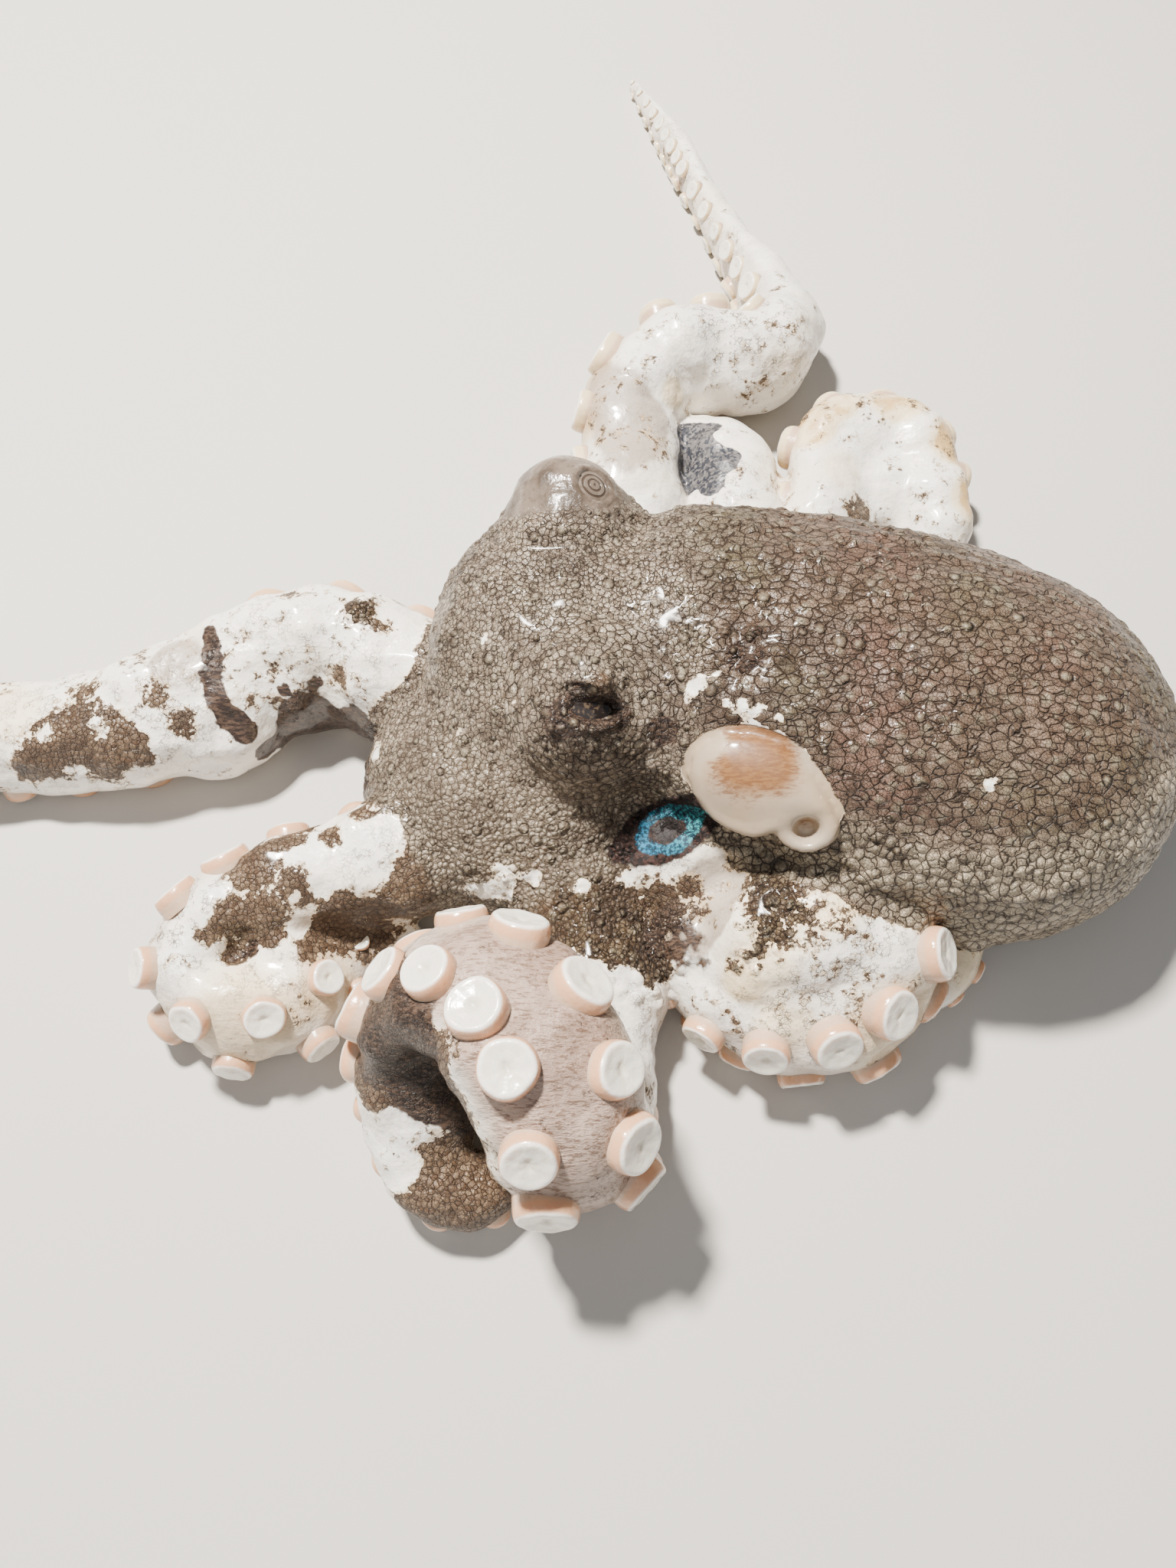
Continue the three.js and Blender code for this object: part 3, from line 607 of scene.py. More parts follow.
for _ in range(PAPILLA_TRIES):
    i = draw.randrange(len(places))
    place = places[i]
    bare = on_body[i] < 0.5 and warty[i] < 0.4
    if bare or off_funnel[i] < 0.9 or place[2] < 5 or near_slit[i] < 3 or from_ball[i] < 1.6:
        continue
    radius, height = papilla_size(i)
    cell = (int(place[0] // 3), int(place[1] // 3))
    near = [p for a in (-1, 0, 1) for b in (-1, 0, 1) for p in papillae.get((cell[0] + a, cell[1] + b), [])]
    if any(np.linalg.norm(place - p) < (radius + r) * PAPILLA_ROOM for p, r in near):
        continue
    papillae.setdefault(cell, []).append((place, radius))
    for _, k, distance in skin_tree.find_range(place, radius * GROOVE_REACH):
        dome = max(0, 1 - (distance / radius) ** 2)
        wart_height[k] = max(wart_height[k], height * dome)
        if distance > radius:
            wart_height[k] = max(wart_height[k] - PAPILLA_GROOVE, -PAPILLA_GROOVE)
relief += wart_height

places += normals * relief[:, None]
from_middle = distances(places, EYE_RIGHT_AT)
opened = 1 - smoothly(distances(places, OPENING_AT), OPENING_RADIUS, OPENING_RADIUS + 0.9)
least = EYE_RIGHT_RADIUS + FILM_THICKNESS
covering = (from_middle < least) | (opened > 0.01)
height_wanted = np.where(opened > 0.01, least - (FILM_THICKNESS + 0.9) * opened, least)
outward = (places - EYE_RIGHT_AT) / from_middle[:, None]
over_ball = EYE_RIGHT_AT + outward * height_wanted[:, None]
places[covering] = over_ball[covering]
from_mouth = distances(places, MOUTH_AT)
places -= np.array((-0.1, -0.45, 0.88)) * (2.6 * (1 - smoothly(from_mouth, 1.1, 2.5)))[:, None]
places[:, 2] = np.maximum(places[:, 2], 0)
skin.data.vertices.foreach_set("co", (places * MM).astype(np.float32).ravel())
skin.data.update()

thin_out = skin.modifiers.new("fewer faces where it is smooth", "DECIMATE")
thin_out.ratio = min(1, SKIN_TRIANGLES / (2 * len(skin.data.polygons)))
thin_out.use_collapse_triangulate = True
bpy.ops.object.modifier_apply(modifier=thin_out.name)
bpy.ops.object.shade_smooth()

# ---- The skin's markings ---------------------------------------------------------------------------------
# Brown skin covers the body and breaks up in ragged islands along the arms, which are rubbed bare to white
# muscle. Each marking is a value over the skin, from 0 to 1, that the material turns into its colour.
# Places are x, y, z, radius, amount.
BROWN = [
    # the near left arm
    (-83, -21.7, 19.3, 7, 1), (-88.2, -28.1, 15, 6, 1), (-96.8, -29.6, 15.6, 5, 0.9),
    (-100.7, -34, 12.9, 5, 0.9), (-94.1, -32.5, 7.8, 6, 1), (-108.7, -31.5, 17.3, 5, 0.9),
    (-114.3, -32.1, 19.2, 4, 0.8), (-111.2, -23.6, 20.8, 5, 0.8), (-104, -26.5, 20, 4, 0.5),
    (-114.3, -36.5, 12.7, 4.5, 0.7), (-118.5, -35, 18.6, 2.4, 0.5), (-104, -15.5, 17.4, 4, 0.7),
    (-105.2, -20, 20.9, 2.2, 0.9), (-98.6, -18.6, 21, 2.4, 0.9), (-94, -15, 21, 3, 0.7),
    (-82, -31, 10, 6, 0.7), (-98.8, -24.4, 20.4, 3, -1), (-89.2, -18.4, 21.3, 3.6, -1.3),
    (-91.5, -22.5, 20.4, 3.2, -1.2), (-104.5, -31.7, 15.6, 2.2, -0.8), (-120.5, -29, 19.8, 5, -0.6),
    (-122.5, -39, 18.6, 5, -0.5), (-117, -39.8, 17.6, 3.4, -0.4),
    # the web and the root of the front arm
    (-78.2, -24.6, 16.2, 2.4, -1), (-74, -26, 16, 2.6, -1.2), (-70.6, -26.2, 16.4, 3, -1.2),
    (-70.4, -24.4, 19.5, 3, -0.9), (-65.8, -25.4, 19.6, 2.2, -1), (-71.7, -29, 14, 2.2, 0.9),
    (-65.5, -28.8, 16.9, 4, 0.8), (-60.4, -31.9, 18.8, 5, 1), (-55.7, -31.6, 18.9, 7, 1),
    (-53.1, -35.6, 18.4, 5, 1), (-48.1, -38.5, 15.2, 5, 1), (-50, -41.5, 18.5, 3, -0.8),
    (-49.4, -47.3, 18.5, 5, -0.8), (-47, -30, 18, 6, 0.6), (-58.5, -27.6, 19.6, 2, -0.9),
    # the front arm's shaded side and its end
    (-88.9, -44.5, 33.1, 7, 0.9), (-86.2, -51.3, 33.3, 7, 1), (-83.5, -56.5, 26.9, 7, 1),
    (-90.9, -54.8, 23.6, 7, 1), (-88.6, -60, 21.2, 4, 0.8), (-81.9, -59.9, 20.5, 5, 1),
    (-84, -45.5, 37, 5, 1), (-80.5, -50.5, 39, 5, 1), (-77.4, -57, 38, 5, 1), (-75, -62.5, 34.5, 5, 1),
    (-73.5, -66, 28, 6, 1), (-76.7, -69.8, 11.3, 8, 1), (-81.1, -74, 9, 6, 0.9), (-72, -74.1, 9.1, 7, 1),
    (-85.3, -63.4, 19, 3, -1), (-86.9, -66.8, 15.3, 3.6, -1), (-84.6, -70, 13.2, 3, -0.8),
    # the arm under the funnel
    (-26.4, -26.6, 27, 5, 0.42), (-28.5, -32.1, 27.2, 6, 0.5), (-28.7, -37.9, 26, 4, 0.45),
    (-31.5, -39.7, 24, 3.4, 0.5), (-34.2, -40.9, 21.6, 2.4, 0.5), (-22, -33, 27, 6, 0.2),
    (-40.8, -26.4, 21.5, 2.6, 0.5), (-42.9, -28.1, 14.9, 4, 0.7), (-37.4, -23.5, 25.4, 3, -1),
    # the far left arm
    (-96.6, 22.3, 24.2, 3, 1), (-92.6, 19, 24.1, 2.4, 0.6), (-92.4, 13.6, 22.9, 2.4, -0.6),
    (-101, 11.1, 20, 3, 0.6), (-108.2, 24.8, 22.4, 2.4, 0.6), (-139.1, 0.1, 15.9, 7, 1),
    (-148.3, 0.2, 15.6, 7, 1), (-154.7, -2, 12.6, 3, 0.8), (-155, -2.1, 12.3, 4, 0.6),
    (-127.3, 3.8, 17, 3, 0.7), (-131.8, 8.4, 19.5, 3.4, 0.5), (-146, 9, 18, 5, 0.55),
    (-131, 2, 15, 2.4, -0.9), (-141.5, 3, 17, 2.6, -0.9), (-146, -2.6, 12.5, 2.4, -0.8),
    (-136.5, -3, 12, 2.6, -0.8), (-150.5, 2.4, 15.4, 2.2, -0.7), (-134, 4.6, 17.6, 2.4, -0.8),
    (-126.4, 1.4, 4.9, 6, -1), (-90.9, 10.9, 22.3, 2.6, -1.2), (-92.7, -2.2, 17.8, 2.6, -1.2),
    # the far right arm's crease, and rubbed places on the head and the mantle
    (-5, 50.5, 15.5, 4, 0.9), (-39.6, -2.2, 43.3, 1.9, -1.15), (-42, -4.6, 42, 1.4, -1.15),
    (-37.5, -1.2, 44, 1.1, -1.15), (-73.4, 7.1, 39.8, 1.2, -1.15), (1.6, -19.3, 42.9, 1.3, -1.15),
    (-33.5, -6.2, 43.4, 1.3, -1.15), (-31, -7.4, 43.4, 1.2, -1.15), (-28.6, -9, 43.2, 1.1, -1.15),
    (-36, -5.6, 43, 1.1, -1.15), (-41, -3.2, 42.8, 1.3, -1), (-34.8, -7, 43, 1.4, -1.3),
    (-32.6, -8.2, 43, 1.4, -1.3), (-30.6, -9.8, 42.6, 1.5, -1.3), (-28.8, -11.2, 42.4, 1.4, -1.3),
    (-27, -12.6, 42, 1.2, -1.3), (-55, -4, 47.5, 5, 1), (-31.6, 3, 47.5, 5, 0.8), (-38, -30, 18, 3.5, 0.4),
]
# Places of dark skin; the low ones, by the floor under the far left arm and between the arms' roots, are
# painted shadow.
DARK_AND_SHADOWED = [
    (-86.2, -51.3, 33.3, 4, 0.3), (-83.5, -56.5, 26.9, 5, 0.6), (-81.9, -59.9, 20.5, 5, 0.9),
    (-78, -55, 30, 5, 0.9), (-77.7, -58.3, 17.7, 6, 1), (-76.9, -59.8, 13.1, 6, 1),
    (-107.3, 8.2, 13.2, 5, 1), (-108.6, 9.1, 7.3, 8, 1), (-98.2, 6.4, 13.5, 4, 0.9), (-102, 8, 8, 6, 0.9),
    (-104.5, 10.5, 18.6, 1.8, 0.8), (-110.5, 10.5, 17.5, 1.6, 0.8), (-92, 2, 6, 8, 0.8),
    (-123, 18.6, 21.6, 1.9, 0.9), (-122.8, 15.5, 21.4, 2.2, 1), (-122.2, 12.2, 20.4, 2.4, 1.1),
    (-121.4, 9.1, 18.3, 2.3, 1), (-119.8, 7, 15.8, 2.6, 1), (-117.7, 5.4, 13.4, 2.6, 1),
    (-116.3, 4.2, 9, 2.8, 1), (-123.1, 17, 21.6, 2, 0.9), (-122.6, 13.8, 21, 2.3, 0.9),
    (-121.9, 10.6, 19.4, 2, 0.8), (-120.8, 8, 17, 2.2, 0.8), (-118.8, 6.2, 14.6, 2.2, 0.8),
    (-93.5, -2, 10, 7, 1), (-88, -3, 12, 6, 0.8), (-156.5, -2.6, 12, 2, 0.8), (-86, -47.5, 33, 6, 1.1),
    (-82, -50, 36, 6, 1), (-79, -54, 35, 6, 1), (-90, -50, 28, 6, 0.9), (-88.5, -55, 24.5, 6, 0.9),
    (-40, -37, 19, 5, 0.5), (-44.5, -33, 17, 5, 0.6), (-50, -30, 17.5, 3, 0.4), (-55.5, -35, 19, 5, 0.3),
    (-47, -38, 16, 5, 0.35), (-114.3, -37.4, 12.2, 3, 0.8), (-110.8, -35.8, 13.5, 2.2, 0.7),
    (-33.4, 0.8, 45.6, 3.4, 0.85), (-45.5, -8, 38, 3.4, 0.7), (-48, -14, 33, 5, 0.35),
    (-61.8, -9.2, 41.6, 1.8, 0.35), (-56.8, -7.4, 44.2, 5, 1.1), (-61, -8.4, 43, 3.6, 0.8),
    (-52.8, -7.6, 42.2, 3.2, 0.8), (-58.4, -4.6, 45, 1.6, 0.5), (-54.9, -4, 46, 2, -1.3),
    (-60.4, -6.6, 45, 1.3, -1.1), (-59.9, -3.4, 45.2, 1.3, -0.9), (-57.9, -9.8, 43.6, 0.9, -0.8),
    (-56.2, -10, 43.2, 0.8, -0.8), (-59.5, -9.2, 43.8, 0.8, -0.8), (-54.8, -9.5, 42.8, 0.8, -0.8),
    (-53.2, -8.6, 42.4, 1.1, -0.8), (-8, -47, 6, 9, 0.35),
]
BLUISH = [
    (-35.6, 64, 14, 4.4, 1.1), (-36.4, 70.2, 14.3, 4, 1), (-36.5, 60, 13, 4, 1), (-32.6, 56, 15.5, 3.4, 1),
    (-31.6, 69, 15, 2.6, 0.7), (-30.5, 61, 16.5, 4, 0.9), (-33, 65, 15.5, 3.2, 0.8),
    (-38.5, 57, 10.7, 3, 0.8),
]
GREY = [
    (-48, 66.8, 23.6, 10, 1), (-53.6, 76, 20, 7, 0.8), (-50, 57, 22, 6, 0.6), (-35.5, -26.9, 22.8, 4.5, 1),
    (-36.4, -33.2, 22.7, 3.4, 1), (-42.4, -27.9, 14.8, 5, 0.5), (-21, 84, 22, 6, 0.35),
    (-128.5, 13.9, 20.7, 6, 1), (-104, -31, 16, 3, 0.6), (-37, -28, 20, 7, 1), (-40, -34, 19, 5, 1),
]
CREAM = [
    (-12.7, -29.8, 29, 4.4, 1), (6.6, -35.9, 9.9, 8, 0.6), (-18.6, -24.9, 32, 4, 0.8),
    (-32.9, -42.7, 20.7, 3.6, 1), (-10, -45, 14, 11, 0.7), (-26, -46, 15, 7, 0.8), (-20, -31, 28, 8, 0.5),
    (-30, -40, 24, 7, 0.5), (-58, 70, 18, 6, 0.8), (-56, 82, 18, 7, 0.7), (-40, 76, 19, 4, 0.7),
    (-46, 91, 18, 7, 0.6), (-28, 98, 20, 6, 0.6), (-14, 72, 18, 8, 0.8), (4, 79, 14, 9, 0.8),
    (16, 68, 12, 8, 0.7), (17, 56, 10, 8, 0.5), (-8, 58, 18, 6, 0.5), (-5, -20, 20, 6, 0.4),
    (-99.2, -41, 11.8, 6, 0.7), (-112, -46, 14, 10, 0.7), (-13.4, 67.6, 18.4, 5, 0.9),
    (-7.5, 74, 20, 5, 0.9), (4.4, 75, 18, 6, 0.9), (14, 66, 15, 6, 0.9), (16.5, 54, 12, 6, 0.8),
    (-121, -45, 9, 8, 0.4), (-125.6, 18, 20, 5, 0.3), (-158, 7, 16, 8, 0.5),
]
SPECKS = [
    (-23.8, -29.7, 28.6, 9, 1), (-20, -38, 26, 9, 0.9), (-12, -35, 27, 9, 0.7), (-22, -47, 17, 10, 0.7),
    (-30, -44, 18, 8, 0.6), (-22, 88, 24, 12, 0.9), (-34, 88, 22, 8, 0.5), (-30, 56, 18, 8, 0.7),
    (-120, -32, 18, 10, 0.8), (-108, -40, 14, 9, 0.6), (-100, 14, 22, 9, 0.8), (-112, 22, 22, 8, 0.6),
    (-131, 6, 18, 11, 0.8), (-78, -27, 14, 6, 0.5), (-48, -46, 18, 8, 0.7), (-44, -26, 20, 7, 0.7),
    (-92, -22, 20, 7, 0.6), (-28, 128, 6, 12, 0.5), (-37, 160, 5, 14, 0.4), (-150, 4, 16, 12, 0.7),
]
# Darker brown skin, and painted shade in the neck's folds and in the hollow between the near eye's mound and
# the funnel.
DUSKY_AND_SHADED = [
    (-57, -7.5, 44, 4.4, 1.3), (-61.4, -8.6, 42, 3, 1), (-52.4, -6, 42, 3.4, 0.8),
    (-60.4, -4.4, 44, 2.6, 0.7), (-36, 2, 44, 12, 1.4), (-56, -13, 38, 9, 0.6), (-48, -15, 34, 7, 0.9),
    (-15, -22, 36, 12, 0.5), (-53, -35, 18, 14, 1.2), (-46, -26, 22, 8, 0.9), (-140, -1, 13, 20, 1.4),
    (-97, 22, 24, 6, 1.2), (-88, -50, 30, 11, 1.3), (-84, -57, 24, 8, 1.3), (-30, -33, 27, 8, 0.4),
    (-112, -34, 13, 8, 0.7), (-8, -24, 30, 12, 0.5), (-60, 22, 43, 7, 0.6), (-104, -28, 18, 7, 0.3),
]
FIBROUS = [
    (-62, -20, 22, 14, 1), (-75, -14, 24, 12, 0.7), (-84, -6, 22, 10, 0.6), (-93, -30, 14, 9, 0.8),
    (-70, -28, 14, 10, 0.8), (-104, -28, 18, 8, 0.6),
]
TAN = [
    (-32.6, -13, 42, 7, 0.7), (-30.2, -14.6, 41.6, 5, 0.5), (-33.6, -15.8, 40.6, 6, 0.3),
    (-37, -15.8, 38.5, 3.6, 0.2), (-38.2, -11.6, 40.2, 2.4, -0.8), (-26.4, -17.6, 40.4, 3, 0.25),
    (-24.2, -22.6, 35.6, 2.4, 0.5),
]

places = read_rows(skin, "co") / MM
normals = read_rows(skin, "normal")
on_funnel = funnel_share(places)
arm_reach, to_suckers, arm_half_width = arm_position(places)
from_slit, near_slit = slit_distance(places)
on_body = body_share(places - 1.6 * normals)
papilla_list = [papilla for cell in papillae.values() for papilla in cell]
papilla_radii = [round(radius * 1000) for _, radius in papilla_list]
papilla_tree = search_tree([place for place, _ in papilla_list], papilla_radii)
from_peak = distances(places, EYE_PEAK)
patches, streaks = np.array([
    (noise.noise(p / 13 + Vector((40, 0, 0))), noise.noise(Vector((p.x / 16, p.y / 5, p.z / 8))))
    for p in map(Vector, places)
]).T

# Out of the main view the arms carry islands of brown on their upper sides.
far_left = smoothly(places[:, 2], 1, 5) * smoothly(-places[:, 0], 158, 166)
brown = touched(places, 0.08, BROWN) + 0.22 * patches + far_left * (0.25 - 0.4 * to_suckers + 0.5 * patches)
brown = np.maximum(brown, np.clip(brown, -1, 0) + 1.15 * on_body) - 1.3 * on_funnel
strip = smoothly(to_suckers, 0.16, 0.46) * smoothly(arm_reach, 26, 50) * (1 - on_body)
on_strip = strip * np.clip(touched(places, 0.35, [(-66, -55, 44, 26, 0.9), (-58, -74, 20, 22, 0.9)]), 0, 1)
wart = []
for place, lift in zip(places, normals):
    _, size, distance = papilla_tree.find(place - lift * 0.3)
    wart.append(max(0, 1.15 - distance / (size / 1000)))
markings = {
    "brown": brown * (1 - on_strip),
    "dark": touched(places, 0, DARK_AND_SHADOWED) * (1 - on_funnel)
    # Painted shade: the near eye's slit is darkened like a deep crease.
    + 1.4 * (1 - smoothly(from_slit, 0.7, 1.7)) * (near_slit < 8),
    "bluish": touched(places, 0, BLUISH),
    "grey": touched(places, 0, GREY),
    "cream": touched(places, 0.06 * patches, CREAM) + 0.25 * smoothly(to_suckers, 0.2, 0.8) * (1 - on_body),
    "specks": touched(places, 0.15, SPECKS),
    "tan": touched(places, 0, TAN) * on_funnel,
    "sucker_side": on_strip,
    "dusk_and_shade": 0.5 + 0.5 * streaks - 0.35 * smoothly(places[:, 0], -20, 15)
    + 0.55 * touched(places, 0, DUSKY_AND_SHADED),
    "head": (1 - smoothly(places[:, 0], -46, -34)) * on_body,
    "limb": 1 - on_body,
    # pebbly: where the cells are small and pale, and where painted light from the floor brightens them.
    "pebbly": on_body * smoothly(-places[:, 1], 9, 15) * (1 - smoothly(places[:, 2], 35, 40)),
    "papillae": np.maximum(
        on_body * (0.56 - 0.38 * smoothly(places[:, 0], -42, -24)), touched(places, 0, WARTY)
    ),
    "film": 1 - smoothly(distances(places, EYE_RIGHT_AT), EYE_RIGHT_RADIUS + 1, EYE_RIGHT_RADIUS + 2.4),
    "round_eye": smoothly(from_peak, 5, 8) * (1 - smoothly(from_peak, 12, 18)) * on_body,
    "funnel": on_funnel,
    "fibrous": np.maximum(touched(places, 0, FIBROUS), 0.7 * (1 - on_body) - touched(places, 0, WARTY)),
    "bubbly": touched(places, 0, WARTY),
    "wart": wart,
}
for name, values in markings.items():
    layer = skin.data.attributes.new(name, "FLOAT", "POINT")
    layer.data.foreach_set("value", np.clip(values, 0, 1).astype(np.float32))

# The cells round the near eye lie in rings: their place is the distance from the eye and the way round it.
RING_SIZE = 8.0
from_eye = places - np.array(EYE_PEAK)
way_round = np.arctan2(from_eye[:, 1] * 0.9 + from_eye[:, 2] * 0.4, from_eye[:, 0])
eye_grain = np.stack([from_peak, RING_SIZE * np.cos(way_round), RING_SIZE * np.sin(way_round)], 1) * MM
grain_values = skin.data.attributes.new("eye_grain", "FLOAT_VECTOR", "POINT")
grain_values.data.foreach_set("vector", eye_grain.astype(np.float32).ravel())


class Value:
    """A number, place or colour in a shader's tree. Sums on numbers are written as in plain code."""

    def __init__(self, socket):
        self.socket = socket

    def __add__(self, other):
        return calc("ADD", self, other)

    def __radd__(self, other):
        return calc("ADD", other, self)

    def __sub__(self, other):
        return calc("SUBTRACT", self, other)

    def __rsub__(self, other):
        return calc("SUBTRACT", other, self)

    def __mul__(self, other):
        return calc("MULTIPLY", self, other)

    def __rmul__(self, other):
        return calc("MULTIPLY", other, self)

    def __truediv__(self, other):
        return calc("DIVIDE", self, other)

    def __rtruediv__(self, other):
        return calc("DIVIDE", other, self)


def feed(socket, value):
    """Links a value to a socket in the tree in hand, or sets the socket to a constant."""
    if isinstance(value, Value):
        tree.links.new(value.socket, socket)
    else:
        socket.default_value = (*value, 1) if socket.type == "RGBA" else value


def node(kind, values=None, socket=0, **settings):
    """Adds a node to the tree in hand, feeds it, and gives the value at one or more of its outputs."""
    added = tree.nodes.new(kind)
    for name, setting in settings.items():
        setattr(added, name, setting)
    for name, value in (values or {}).items():
        feed(added.inputs[name], value)
    if isinstance(socket, tuple):
        return [Value(added.outputs[name]) for name in socket]
    return Value(added.outputs[socket])


def calc(operation, *values, clamp=False):
    """A sum on one to three values."""
    return node("ShaderNodeMath", dict(enumerate(values)), operation=operation, use_clamp=clamp)


def ramp(value, start, end, low=0.0, high=1.0):
    """A value that rises smoothly from low at the start to high at the end."""
    values = {"Value": value, "From Min": start, "From Max": end, "To Min": low, "To Max": high}
    return node("ShaderNodeMapRange", values, "Result", interpolation_type="SMOOTHSTEP")


def blend(share, first, second):
    """Two colours mixed by a share of the second one. The mix node's colours are its inputs 6 and 7."""
    return node("ShaderNodeMix", {0: share, 6: first, 7: second}, 2, data_type="RGBA")


def pick(share, first, second):
    """The first of two places where the share is under a half, and the second elsewhere."""
    choice = calc("GREATER_THAN", share, 0.5)
    return node("ShaderNodeMix", {0: choice, 4: first, 5: second}, 1, data_type="VECTOR")


def cloud(where, scale, detail=3.0, roughness=0.55):
    """Soft noise from 0 to 1."""
    values = {"Vector": where, "Scale": scale, "Detail": detail, "Roughness": roughness}
    return node("ShaderNodeTexNoise", values, "Fac")


def scaled(place, scale):
    """A place times a scale."""
    return node("ShaderNodeVectorMath", {0: place, "Scale": scale}, operation="SCALE")


def marking(name):
    """One of the skin's markings."""
    return node("ShaderNodeAttribute", socket="Fac", attribute_name=name)


def dress(**values):
    """Feeds the shader of the material in hand; its inputs' names have _ for a space."""
    shader = tree.nodes["Principled BSDF"]
    for name, value in values.items():
        feed(shader.inputs[name.replace("_", " ")], value)


def new_material(name):
    """An empty material with a shader."""
    made = bpy.data.materials.new(name)
    made.use_nodes = True
    return made


def shader_group(name, inputs, outputs):
    """An empty node group, the values at its inputs, and the sockets of its outputs, which are numbers."""
    group = bpy.data.node_groups.new(name, "ShaderNodeTree")
    for socket, kind in inputs.items():
        group.interface.new_socket(socket, in_out="INPUT", socket_type=kind)
    for socket in outputs:
        group.interface.new_socket(socket, in_out="OUTPUT", socket_type="NodeSocketFloat")
    given = group.nodes.new("NodeGroupInput").outputs
    return group, [Value(given[name]) for name in inputs], group.nodes.new("NodeGroupOutput").inputs


def use_group(group, **values):
    """Adds a node group to the tree in hand, and gives the values at all its outputs."""
    added = tree.nodes.new("ShaderNodeGroup")
    added.node_tree = group
    for name, value in values.items():
        feed(added.inputs[name], value)
    return [Value(socket) for socket in added.outputs]


# The skin is divided in cells by fine dark cracks; each cell is a low dome with a tint of its own.
cells, (cells_where, cells_scale), cells_out = shader_group(
    "skin_cells", {"Where": "NodeSocketVector", "Scale": "NodeSocketFloat"}, ("Crack", "Dome", "Tint"),
)
tree = cells
bend_values = {"Vector": cells_where, "Scale": cells_scale * 0.85, "Detail": 2.5}
bend_places, bend_noise = node("ShaderNodeTexNoise", bend_values, ("Color", "Fac"))
bend_from_middle = node("ShaderNodeVectorMath", {0: bend_places, 1: (0.5, 0.5, 0.5)}, operation="SUBTRACT")
bend = scaled(bend_from_middle, 0.75 / cells_scale)
bent_where = node("ShaderNodeVectorMath", {0: cells_where, 1: bend}, operation="ADD")
cell_values = {"Vector": bent_where, "Scale": cells_scale, "Randomness": 0.95}
cell_away, cell_random = node("ShaderNodeTexVoronoi", cell_values, ("Distance", "Color"), feature="F1")
cell_edge = node("ShaderNodeTexVoronoi", cell_values, "Distance", feature="DISTANCE_TO_EDGE")
crack_width = ramp(bend_noise, 0.3, 0.7, 0.035, 0.12)
feed(cells_out["Crack"], calc("SUBTRACT", 1, cell_edge / crack_width, clamp=True))
feed(cells_out["Dome"], ramp(cell_away, 0.75, 0.05))
feed(cells_out["Tint"], node("ShaderNodeSeparateColor", {"Color": cell_random}, "Red"))

# Round warts of many sizes stand among the cells, each in a dark groove of its own.
warts, (warts_where, warts_share), warts_out = shader_group(
    "skin_papillae", {"Where": "NodeSocketVector", "Share": "NodeSocketFloat"}, ("Dome", "Ring"),
)
tree = warts
wart_values = {"Vector": warts_where, "Scale": 1.0, "Randomness": 0.9}
wart_away, wart_random = node("ShaderNodeTexVoronoi", wart_values, ("Distance", "Color"), feature="F1")
wart_chance, wart_growth = node("ShaderNodeSeparateColor", {"Color": wart_random}, ("Red", "Green"))
wart_reach = wart_away / ramp(wart_growth, 0.0, 1.0, 0.16, 0.42)
wart_here = calc("GREATER_THAN", warts_share, wart_chance)
wart_groove = ramp(calc("ABSOLUTE", wart_reach - 1.08), 0.0, 0.26, 1.0, 0.0)
feed(warts_out["Dome"], wart_here * calc("SUBTRACT", 1, wart_reach * wart_reach, clamp=True))
feed(warts_out["Ring"], wart_here * wart_groove)

skin_finish = new_material("octopus_skin")
tree = skin_finish.node_tree
where = node("ShaderNodeTexCoord", socket="Object")
stretch = {"Vector": where, "Rotation": (0, 0, 0.33), "Scale": (0.8, 1.1, 1.1)}
stretched = node("ShaderNodeMapping", stretch)
eye_grain = node("ShaderNodeAttribute", socket="Vector", attribute_name="eye_grain")
wide_cloud = cloud(where, 45.0, 3.0)
mid_cloud = cloud(where, 150.0, 3.0)
fine_cloud = cloud(where, 420.0, 3.0)
grain = cloud(where, 2600.0, 2.0)
raggedness = (fine_cloud - 0.5) * 1.1
head = marking("head")
limb = marking("limb")
bubbly = marking("bubbly")
pebbly = marking("pebbly")
off_body = head + limb + raggedness

# The cells are large on the mantle's back, like pebbles on its front, small on the head and the arms, and
# lie in rings round the near eye.
pebbles = pick(pebbly + raggedness, scaled(stretched, 640.0), scaled(where, 640.0))
off_body_cells = pick(off_body, pebbles, scaled(where, 1080.0))
cell_place = pick(marking("round_eye") + raggedness, off_body_cells, scaled(eye_grain, 1000.0))
wart_place = pick(off_body, scaled(where, 360.0), scaled(where, 440.0))
crack, dome, tint = use_group(cells, Where=cell_place, Scale=1.0)
tiny_crack, _, tiny_tint = use_group(cells, Where=where, Scale=1900.0)
wart_top, wart_ring = use_group(warts, Where=wart_place, Share=marking("papillae"))
fibrous = marking("fibrous")
fibre_noise = cloud(where, 900.0, 4.0, 0.65)
fibres = ramp(calc("ABSOLUTE", fibre_noise - 0.5), 0.0, 0.05, 1.0, 0.0)
plain = 1 - fibrous * 0.5
off_warts = calc("SUBTRACT", 1, wart_top, clamp=True)
all_cracks = plain * off_warts * calc("MAXIMUM", crack, tiny_crack * 0.5)

# Brown skin: taupe on the mantle with pinkish and greenish clouds, paler and greyer on the head, and tan on
# the arms. Warts have pale tops and dark grooves.
taupe = blend(tint, (0.094, 0.062, 0.042), (0.19, 0.132, 0.092))
pinkish = blend(ramp(wide_cloud, 0.5, 0.66, 0.0, 0.55), taupe, (0.165, 0.085, 0.062))
greenish = blend(ramp(wide_cloud, 0.49, 0.34, 0.0, 0.5), pinkish, (0.112, 0.104, 0.056))
